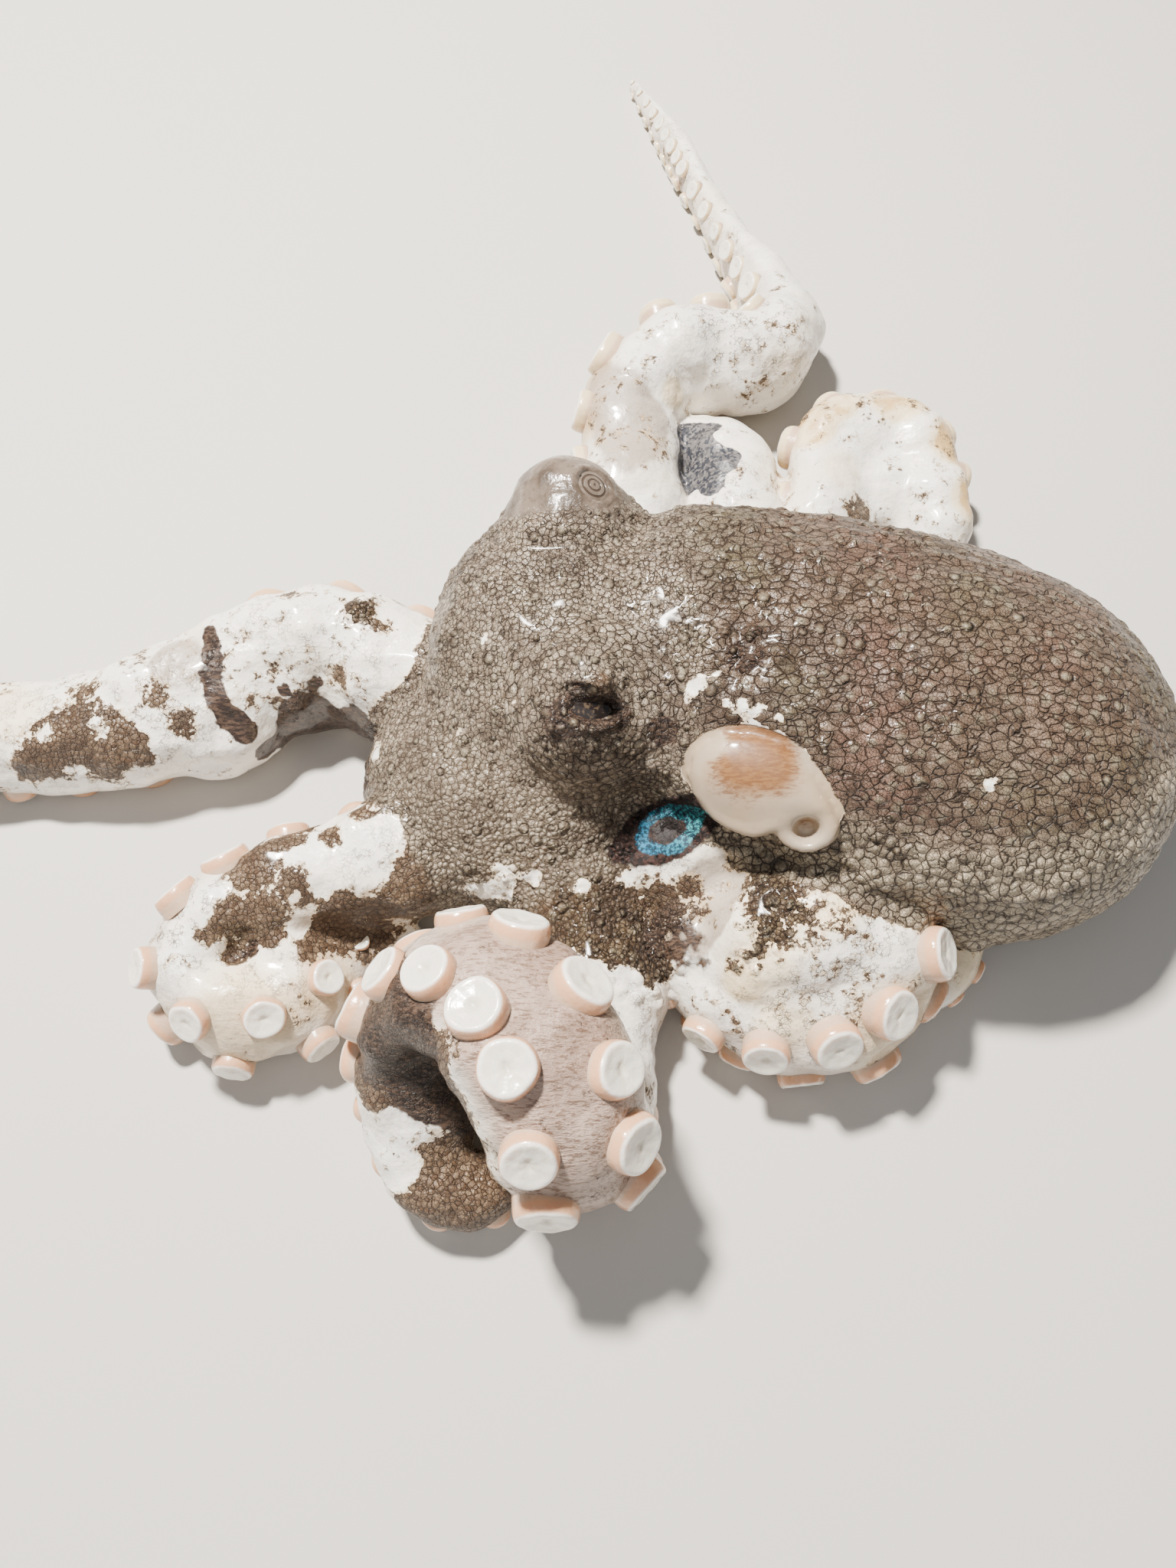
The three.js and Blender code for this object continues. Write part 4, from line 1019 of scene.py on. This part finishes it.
# The mantle's low near side has small pearly cells, paler still as painted light, for the light bounced up
# from the floor.
pearly_and_bounce_lit = blend(pebbly * 0.85, greenish, (0.53, 0.44, 0.31))
headed = blend(head * 0.8, pearly_and_bounce_lit, blend(tint, (0.25, 0.19, 0.135), (0.5, 0.42, 0.32)))
tan = blend(tint, (0.1, 0.056, 0.03), (0.27, 0.185, 0.115))
caviar = blend(tint, (0.05, 0.03, 0.016), (0.16, 0.115, 0.065))
limbed = blend(limb, headed, blend(bubbly * 0.8, tan, caviar))
tops = ramp(calc("MAXIMUM", marking("wart"), wart_top), 0.2, 0.8, 0.0, 0.7)
raised = blend(tops, limbed, (0.27, 0.235, 0.16))
# Darker streaks and patches of brown, partly painted shade in the neck's folds and the creases beside the
# funnel.
dusk_and_shade = marking("dusk_and_shade") * ramp(mid_cloud, 0.35, 0.62)
dusky_and_shaded = blend(dusk_and_shade * 0.7, raised, (0.032, 0.017, 0.0095))
# Each cell darkens towards its rim: painted shade round the cells' domes.
shaded = blend(ramp(dome, 0.55, 0.0, 0.0, 0.5), dusky_and_shaded, (0.055, 0.032, 0.019))
grained = blend(ramp(grain, 0.42, 0.66, 0.18, 0.0), shaded, (0.045, 0.026, 0.015))
fibre_share = fibres * (0.1 + fibrous * 0.55)
fibred = blend(fibre_share, grained, (0.05, 0.026, 0.013))
cracked = blend(all_cracks * 0.95, fibred, (0.016, 0.009, 0.005))
brown_skin = blend(wart_ring * 0.7, cracked, (0.02, 0.012, 0.007))

# The brown's ragged border follows whole cells, and frays in bits of cracks and single cells.
cell_luck = (tint - 0.5) * 0.25
brown_amount = marking("brown") + cell_luck + ((mid_cloud - 0.5) * 1.1 + (fine_cloud - 0.5) * 1.3)
near_brown = ramp(brown_amount, 0.2, 0.42)
stray = ramp(tiny_tint, 0.74, 0.77) * near_brown
is_brown = calc("MAXIMUM", ramp(brown_amount, 0.47, 0.52), stray)

# Bare muscle: white with a bluish or creamy cast, ochre where it is stained, grey where it is thin.
white = blend(ramp(mid_cloud, 0.38, 0.6), (0.86, 0.81, 0.72), (0.8, 0.77, 0.72))
mottled = blend(ramp(wide_cloud, 0.5, 0.68, 0.0, 0.5), white, (0.76, 0.65, 0.48))
cream = marking("cream")
creamy = blend(ramp(cream + mid_cloud * 0.5, 0.3, 1.0, 0.0, 0.85), mottled, (0.77, 0.62, 0.38))
stained = blend(ramp(cream * mid_cloud, 0.4, 0.6, 0.0, 0.75), creamy, (0.5, 0.28, 0.07))
grey = blend(ramp(marking("grey") + mid_cloud, 0.75, 1.15, 0.0, 0.8), stained, (0.3, 0.238, 0.185))
golden = blend(near_brown * 0.55, grey, (0.56, 0.38, 0.17))
hatch = {"Vector": where, "Rotation": (0.4, 0.3, 0.9), "Scale": (0.35, 1.6, 1)}
hatch_noise = cloud(node("ShaderNodeMapping", hatch), 1500.0, 3.0, 0.7)
beige = blend(ramp(wide_cloud, 0.35, 0.65), (0.29, 0.195, 0.15), (0.41, 0.3, 0.24))
hatched = blend(ramp(hatch_noise, 0.48, 0.62, 0.0, 0.8), beige, (0.14, 0.08, 0.05))
bare = blend(marking("sucker_side"), golden, hatched)
fragments = calc("MAXIMUM", crack, tiny_crack * 0.85) * ramp(fine_cloud, 0.47, 0.53)
specks = calc("MAXIMUM", marking("specks"), near_brown)
veins = ramp(calc("ABSOLUTE", cloud(where, 110.0, 4.0, 0.6) - 0.5), 0.0, 0.012, 0.25, 0.0)
veined = blend(veins, bare, (0.5, 0.4, 0.35))
specked = blend(fragments * specks, veined, (0.05, 0.03, 0.018))

covered = blend(is_brown, specked, brown_skin)
# The dark marking: dark brown skin, painted shadow low under the arms, and painted shade in the near eye's
# slit.
dark_amount = marking("dark") + (fine_cloud - 0.5) * 0.8
dark_skin_and_shadow = blend(ramp(hatch_noise, 0.42, 0.62), (0.018, 0.01, 0.007), (0.08, 0.048, 0.031))
darkest = blend(ramp(dark_amount, 0.9, 1.35), dark_skin_and_shadow, (0.016, 0.01, 0.008))
dark_share = ramp(dark_amount, 0.36, 0.58) * calc("SUBTRACT", 1, wart_top * 0.6, clamp=True)
darkened = blend(dark_share, covered, darkest)
bluish_amount = marking("bluish") + (mid_cloud - 0.5) * 1.3
blue_grey = blend(ramp(tiny_tint, 0.2, 0.9), (0.02, 0.022, 0.03), (0.13, 0.12, 0.115))
bluish = blend(ramp(bluish_amount, 0.45, 0.55), darkened, blue_grey)

# The clear film over the far eye: wet, greyish taupe and finely veined.
film = marking("film")
film_skin = blend(ramp(mid_cloud, 0.38, 0.62), (0.15, 0.115, 0.09), (0.06, 0.043, 0.031))
film_veins = blend(ramp(fibre_noise, 0.5, 0.66, 0.0, 0.5), film_skin, (0.06, 0.042, 0.03))
filmed = blend(film, bluish, film_veins)

# The funnel: waxy white, with an orange tan dome of fine brown strokes.
tan_amount = marking("tan") + (mid_cloud - 0.5) * 1.1
strokes = ramp(hatch_noise + tan_amount * 0.12, 0.5, 0.68)
waxy = blend(ramp(wide_cloud, 0.4, 0.62, 0.0, 0.6), (0.37, 0.3, 0.225), (0.36, 0.25, 0.14))
tanned = blend(ramp(tan_amount, 0.0, 1.0, 0.0, 0.95), waxy, (0.2, 0.088, 0.024))
stroked = blend(strokes * ramp(tan_amount, 0.05, 0.5, 0.0, 0.75), tanned, (0.13, 0.05, 0.016))
with_funnel = blend(ramp(marking("funnel"), 0.4, 0.6), filmed, stroked)

# The eyespot: a ring of blue in a dark maroon field with a dark almond in its middle.
EYESPOT_AT = (-0.0440, -0.0187, 0.0242)
EYESPOT_TURN = math.radians(27)
from_spot = node("ShaderNodeVectorMath", {0: where, 1: EYESPOT_AT}, operation="SUBTRACT")


def spot_axis(right, up, half):
    """Distance from the eyespot's middle along one of its axes, over the ring's half size."""
    direction = (right / half, up * 0.91 / half, up * 0.41 / half)
    return node("ShaderNodeVectorMath", {0: from_spot, 1: direction}, "Value", operation="DOT_PRODUCT")


spot_long = spot_axis(math.cos(EYESPOT_TURN), math.sin(EYESPOT_TURN), 0.0056)
spot_wide = spot_axis(-math.sin(EYESPOT_TURN), math.cos(EYESPOT_TURN), 0.0037)
SPOT_POINTEDNESS = 1.65


def spot_distance(shift, shortening):
    """Distance from the eyespot's middle, 1 on the ring's outer edge, along lines like an almond's."""
    along = calc("ABSOLUTE", (spot_long + shift) * shortening)
    across = calc("ABSOLUTE", spot_wide)
    total = calc("POWER", along, SPOT_POINTEDNESS) + calc("POWER", across, SPOT_POINTEDNESS)
    waver = (cloud(where, 450.0, 3.0) - 0.5) * 0.42
    return calc("POWER", total, 1 / SPOT_POINTEDNESS) + waver


spot_edge = spot_distance(0.0, 1.0)
spot_field = spot_distance(0.12, 0.72)
spot_core = spot_distance(0.08, 0.95)
spot_away = node("ShaderNodeVectorMath", {0: from_spot}, "Value", operation="LENGTH")
spot_near = ramp(spot_away, 0.0125, 0.0105)
maroon_share = ramp(tiny_tint, 0.2, 0.9) * ramp(spot_core, 0.3, 0.6)
maroon = blend(maroon_share, (0.006, 0.003, 0.0025), (0.038, 0.017, 0.013))
halo = spot_near * ramp(spot_field, 1.42, 1.25)
blue_mottle = ramp(cloud(where, 1700.0, 2.0) + tiny_crack * -0.15, 0.4, 0.6)
teal = blend(ramp(spot_long, -0.9, 0.9), (0.018, 0.165, 0.29), (0.032, 0.235, 0.25))
blue = blend(blue_mottle, (0.004, 0.028, 0.048), teal)
blue_band = spot_near * ramp(spot_edge, 1.1, 1.0) * ramp(spot_core, 0.5, 0.6)
spotted = blend(blue_band, blend(halo, with_funnel, maroon), blue)

# The relief of the cells, warts, cracks and wrinkles, finer than the mesh shows.
dome_height = 0.14 + 0.4 * (pebbly + bubbly)
cell_height = dome * dome_height - all_cracks * 0.42
wart_height = wart_top * 0.8 - wart_ring * 0.3
bare_film = 1 - film
brown_height = is_brown * bare_film * (0.25 + (cell_height + wart_height))
wrinkle_height = hatch_noise * (marking("sucker_side") * 0.4)
soft_height = fine_cloud * 0.5
height = brown_height + wrinkle_height + soft_height
off_funnel_height = height * ramp(marking("funnel"), 0.3, 0.7, 1.0, 0.12)
bump = node("ShaderNodeBump", {"Strength": 1.0, "Distance": 0.0008, "Height": off_funnel_height})

# Wet skin: the brown is duller than the bare muscle, and the film over the far eye shines most.
spot_share = calc("MAXIMUM", halo, blue_band)
skin_roughness = ramp(mid_cloud, 0.35, 0.65, 0.28, 0.46) + all_cracks * 0.2
dress(
    Base_Color=spotted, Normal=bump,
    Roughness=skin_roughness + spot_share * 0.25 + (is_brown * 0.09 - film * 0.24),
    Coat_Weight=ramp(is_brown, 0.0, 1.0, 0.35, 0.12) * (1 - spot_share), Coat_Roughness=0.11,
    Specular_IOR_Level=0.35,
    Subsurface_Weight=0.12, Subsurface_Radius=(1, 0.6, 0.45), Subsurface_Scale=0.0012,
)
skin.data.materials.clear()
skin.data.materials.append(skin_finish)
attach(skin, "root")
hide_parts(*[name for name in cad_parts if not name.startswith("eye_")])

# ---- Suckers ---------------------------------------------------------------------------------------------
# Two rows of round muscular cups run down every arm, alternating from side to side. Each is a thick disc
# with a flat milky face, a dimple in its middle, and a peach coloured wall below a pale rim.
SUCKER_SIZE = 0.4
LARGEST_SUCKER = 4.6
SMALLEST_SUCKER = 0.55
SUCKER_PITCH = 0.42
SUCKER_ROW = 0.56
SUCKER_LEAN = 0.45
FIRST_SUCKER = 16
LEAST_STRETCH = 0.6
# The lengths of an arm past which its suckers stand further apart, and how many times.
SPARSE = {"l1": (54, 1.65)}
# Radius and height over the sucker's own radius, then the shade: from the foot over the rim to the dimple.
SUCKER_PROFILE = [
    (1.06, -0.55, 2), (1.06, -0.25, 1.85), (1.055, -0.05, 1.7), (1.05, 0.08, 1.5), (1.035, 0.18, 1.35),
    (1.01, 0.27, 1.22), (0.975, 0.345, 1.12), (0.93, 0.4, 1.03), (0.88, 0.43, 0.97), (0.82, 0.436, 0.9),
    (0.73, 0.42, 0.8), (0.61, 0.395, 0.65), (0.48, 0.38, 0.5), (0.36, 0.375, 0.34), (0.27, 0.36, 0.24),
    (0.21, 0.33, 0.16), (0.14, 0.3, 0.08), (0.07, 0.285, 0),
]


def sucker_places(name, made):
    """Seat, facing, direction along the arm and radius of every sucker on an arm."""
    found = []
    next_at = FIRST_SUCKER
    for section in made:
        if section["length"] < next_at:
            continue
        row = 1 if len(found) % 2 else -1
        half_width = section["half_width"]
        radius = min(LARGEST_SUCKER, half_width * SUCKER_SIZE * min(1, 0.55 + section["length"] / 70))
        radius *= draw.uniform(0.86, 1.03)
        facing = (section["oral"] + section["across"] * SUCKER_LEAN * row).normalized()
        seat = section["centre"] + section["across"] * SUCKER_ROW * row * half_width
        seat = seat + section["oral"] * ORAL_FLATNESS * half_width * math.sqrt(1 - SUCKER_ROW**2)
        found.append((seat, facing, section["along"], radius))
        # Round the outer side of a bend the suckers stand as close as on a straight arm.
        stretch = max(LEAST_STRETCH, 1 - ORAL_FLATNESS * half_width * section["bend"].dot(section["oral"]))
        sparse_from, times = SPARSE.get(name, (math.inf, 1))
        pitch = SUCKER_PITCH * (times if section["length"] > sparse_from else 1)
        next_at = section["length"] + half_width * pitch / stretch
    return [place for place in found if place[3] > SMALLEST_SUCKER]


def sucker_mesh(name, seats):
    """One mesh of all the suckers on an arm, with the shade that says how far out each point is."""
    points, faces, shades = [], [], []
    for seat, facing, along, radius in seats:
        sides = 36 if radius > 2.5 else 18
        lean = Vector([draw.gauss(0, 0.07) for _ in range(3)])
        up = (facing + lean).normalized()
        side = (along - up * along.dot(up)).normalized()
        over = up.cross(side)
        wide, long = draw.uniform(0.9, 1.02), draw.uniform(0.9, 1.02)
        ripple, start = draw.uniform(0.006, 0.024), draw.uniform(0, math.tau)
        dish, tilt = draw.uniform(-0.05, 0.04), draw.uniform(-0.05, 0.05)
        first = len(points)
        for out, height, shade in SUCKER_PROFILE:
            for k in range(sides):
                angle = math.tau * k / sides
                waver = 1 + ripple * math.sin(3 * angle + start) + 0.6 * ripple * math.sin(5 * angle)
                reach = out * radius * (waver if out > 0.5 else 1)
                across = 0.6 if out < 0.25 else 1
                place = (
                    seat + side * reach * wide * math.cos(angle)
                    + over * reach * long * across * math.sin(angle)
                )
                rise = height + (tilt * out * math.cos(angle + start) if height > 0 else 0)
                if shade < 1:
                    rise += dish * (1 - out) + 0.012 * math.sin(7 * angle + start) * out
                place = place + up * rise * radius
                place.z = max(place.z, 0.05)
                points.append(place * MM)
                shades.append(shade)
        faces += ring_faces(first, sides, len(SUCKER_PROFILE))
    made = new_mesh(name, points, faces)
    made.data.attributes.new("shade", "FLOAT", "POINT").data.foreach_set("value", shades)
    return made


sucker_finish = new_material("octopus_sucker")
tree = sucker_finish.node_tree
where = node("ShaderNodeTexCoord", socket="Object")
shade = node("ShaderNodeAttribute", socket="Fac", attribute_name="shade")
soft = cloud(where, 260.0)
face = blend(ramp(soft, 0.35, 0.7), (0.80, 0.75, 0.65), (0.74, 0.71, 0.62))
dimple = blend(ramp(shade, 0.4, 0.1, 0.0, 0.7), face, (0.66, 0.60, 0.49))
rim = blend(ramp(shade, 0.82, 1.0, 0.0, 0.8), dimple, (0.86, 0.80, 0.74))
away = node("ShaderNodeSeparateXYZ", {"Vector": where}, "Y")
peach = blend(ramp(away, 0.02, 0.05), (0.62, 0.35, 0.20), (0.72, 0.58, 0.36))
wall = blend(ramp(shade + soft * 0.12, 1.06, 1.24), rim, peach)
foot = blend(ramp(shade, 1.5, 1.8), wall, (0.52, 0.36, 0.25))
freckled = blend(ramp(cloud(where, 1700.0), 0.55, 0.72, 0.0, 0.22), foot, (0.50, 0.33, 0.22))
sucker_height = soft + cloud(where, 1300.0, 2.0) * 0.2
dress(
    Base_Color=freckled, Roughness=ramp(soft, 0.3, 0.7, 0.2, 0.36),
    Normal=node("ShaderNodeBump", {"Strength": 0.7, "Distance": 0.0004, "Height": sucker_height}),
    Coat_Weight=0.3, Coat_Roughness=0.1,
    Subsurface_Weight=0.3, Subsurface_Radius=(1, 0.55, 0.35), Subsurface_Scale=0.002,
)

for name, made in arms.items():
    piece = sucker_mesh(f"suckers_{name}", sucker_places(name, made))
    bpy.ops.object.select_all(action="DESELECT")
    piece.select_set(True)
    bpy.context.view_layer.objects.active = piece
    bpy.ops.object.shade_smooth_by_angle(angle=math.radians(60))
    piece.data.materials.append(sucker_finish)
    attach(piece, "root")

# ---- Eyes ------------------------------------------------------------------------------------------------
# The eyeballs. The near one shows as a black glint in the slit between its lids. The far one bulges under a
# clear film of skin, greyish taupe, with the closed iris as small rings round its pupil.


def eyeball(name, at, radius, replaced):
    """A smooth ball in place of an eye's solid."""
    bpy.ops.object.select_all(action="DESELECT")
    bpy.ops.mesh.primitive_uv_sphere_add(
        segments=64, ring_count=40, radius=radius * MM, location=Vector(at) * MM
    )
    bpy.ops.object.transform_apply()
    bpy.ops.object.shade_smooth()
    made = bpy.context.object
    made.name = name
    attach(made, "root")
    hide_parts(replaced)
    return made


eye_left = eyeball("near_eyeball", tuple(EYE_LEFT_AT), EYE_LEFT_RADIUS, "eye_left")
near_finish = new_material("near_eye")
tree = near_finish.node_tree
flecks = cloud(node("ShaderNodeTexCoord", socket="Object"), 1400.0)
dress(
    Base_Color=blend(ramp(flecks, 0.52, 0.7), (0.010, 0.007, 0.006), (0.06, 0.04, 0.025)),
    Roughness=ramp(flecks, 0.3, 0.7, 0.08, 0.2), Coat_Weight=0.25, Coat_Roughness=0.1,
)
eye_left.data.materials.append(near_finish)

eye_right = eyeball("far_eyeball", tuple(EYE_RIGHT_AT), EYE_RIGHT_RADIUS, "eye_right")
far_finish = new_material("far_eye")
tree = far_finish.node_tree
where = node("ShaderNodeTexCoord", socket="Object")
pupil_at = tuple((Vector(EYE_RIGHT_AT) + FAR_PUPIL * EYE_RIGHT_RADIUS) * MM)
from_pupil = node("ShaderNodeVectorMath", {0: where, 1: pupil_at}, operation="SUBTRACT")
pupil_away = node("ShaderNodeVectorMath", {0: from_pupil}, "Value", operation="LENGTH")
haze = cloud(where, 170.0, 4.0)
pupil_rings = calc("SINE", pupil_away * 6200.0 + haze * 2.0)
ring_share = ramp(pupil_rings, 0.1, 0.8) * ramp(pupil_away, 0.0032, 0.0022)
hazy = blend(ramp(haze, 0.35, 0.65), (0.21, 0.17, 0.135), (0.12, 0.092, 0.07))
eye_veined = blend(ramp(cloud(where, 900.0), 0.5, 0.64, 0.0, 0.5), hazy, (0.07, 0.048, 0.034))
eye_height = haze * 0.8 - ring_share * 0.5
dress(
    Base_Color=blend(ring_share * 0.8, eye_veined, (0.03, 0.018, 0.012)),
    Roughness=ramp(haze, 0.3, 0.7, 0.1, 0.24), Coat_Weight=0.7, Coat_Roughness=0.05,
    Normal=node("ShaderNodeBump", {"Strength": 0.8, "Distance": 0.0005, "Height": eye_height}),
)
eye_right.data.materials.append(far_finish)

# ---- Floor and light -------------------------------------------------------------------------------------
# A plain pale studio floor, a plane with one material. A small warm lamp stands high at the far left, as
# the sun would, and a large dim lamp at the near side and a dim pale surround fill the shadows.
bpy.ops.mesh.primitive_plane_add(size=6, location=(0, 0, 0))
floor = bpy.context.object
floor.name = "floor"
floor_finish = new_material("studio_floor")
tree = floor_finish.node_tree
floor_cloud = cloud(node("ShaderNodeTexCoord", socket="Object"), 6.0, 2.0)
dress(Base_Color=blend(floor_cloud, (0.5, 0.475, 0.44), (0.54, 0.515, 0.48)), Roughness=0.75)
floor.data.materials.append(floor_finish)

LAMPS = [
    # name, place, size, power, colour
    ("key", (-0.26, 0.24, 0.66), 0.07, 26, (1, 0.95, 0.88)),
    ("fill", (-0.2, -0.6, 0.6), 1.6, 5.2, (0.97, 0.98, 1)),
]
for name, place, size, power, colour in LAMPS:
    bpy.ops.object.light_add(type="AREA", location=place)
    lamp = bpy.context.object
    lamp.name = name
    lamp.data.energy = power
    lamp.data.size = size
    lamp.data.color = colour
    lamp.rotation_euler = (Vector((-0.05, 0, 0.02)) - Vector(place)).to_track_quat("-Z", "Y").to_euler()
world = bpy.data.worlds.new("studio")
bpy.context.scene.world = world
world.use_nodes = True
world.node_tree.nodes["Background"].inputs["Color"].default_value = (0.93, 0.96, 1, 1)
world.node_tree.nodes["Background"].inputs["Strength"].default_value = 0.22
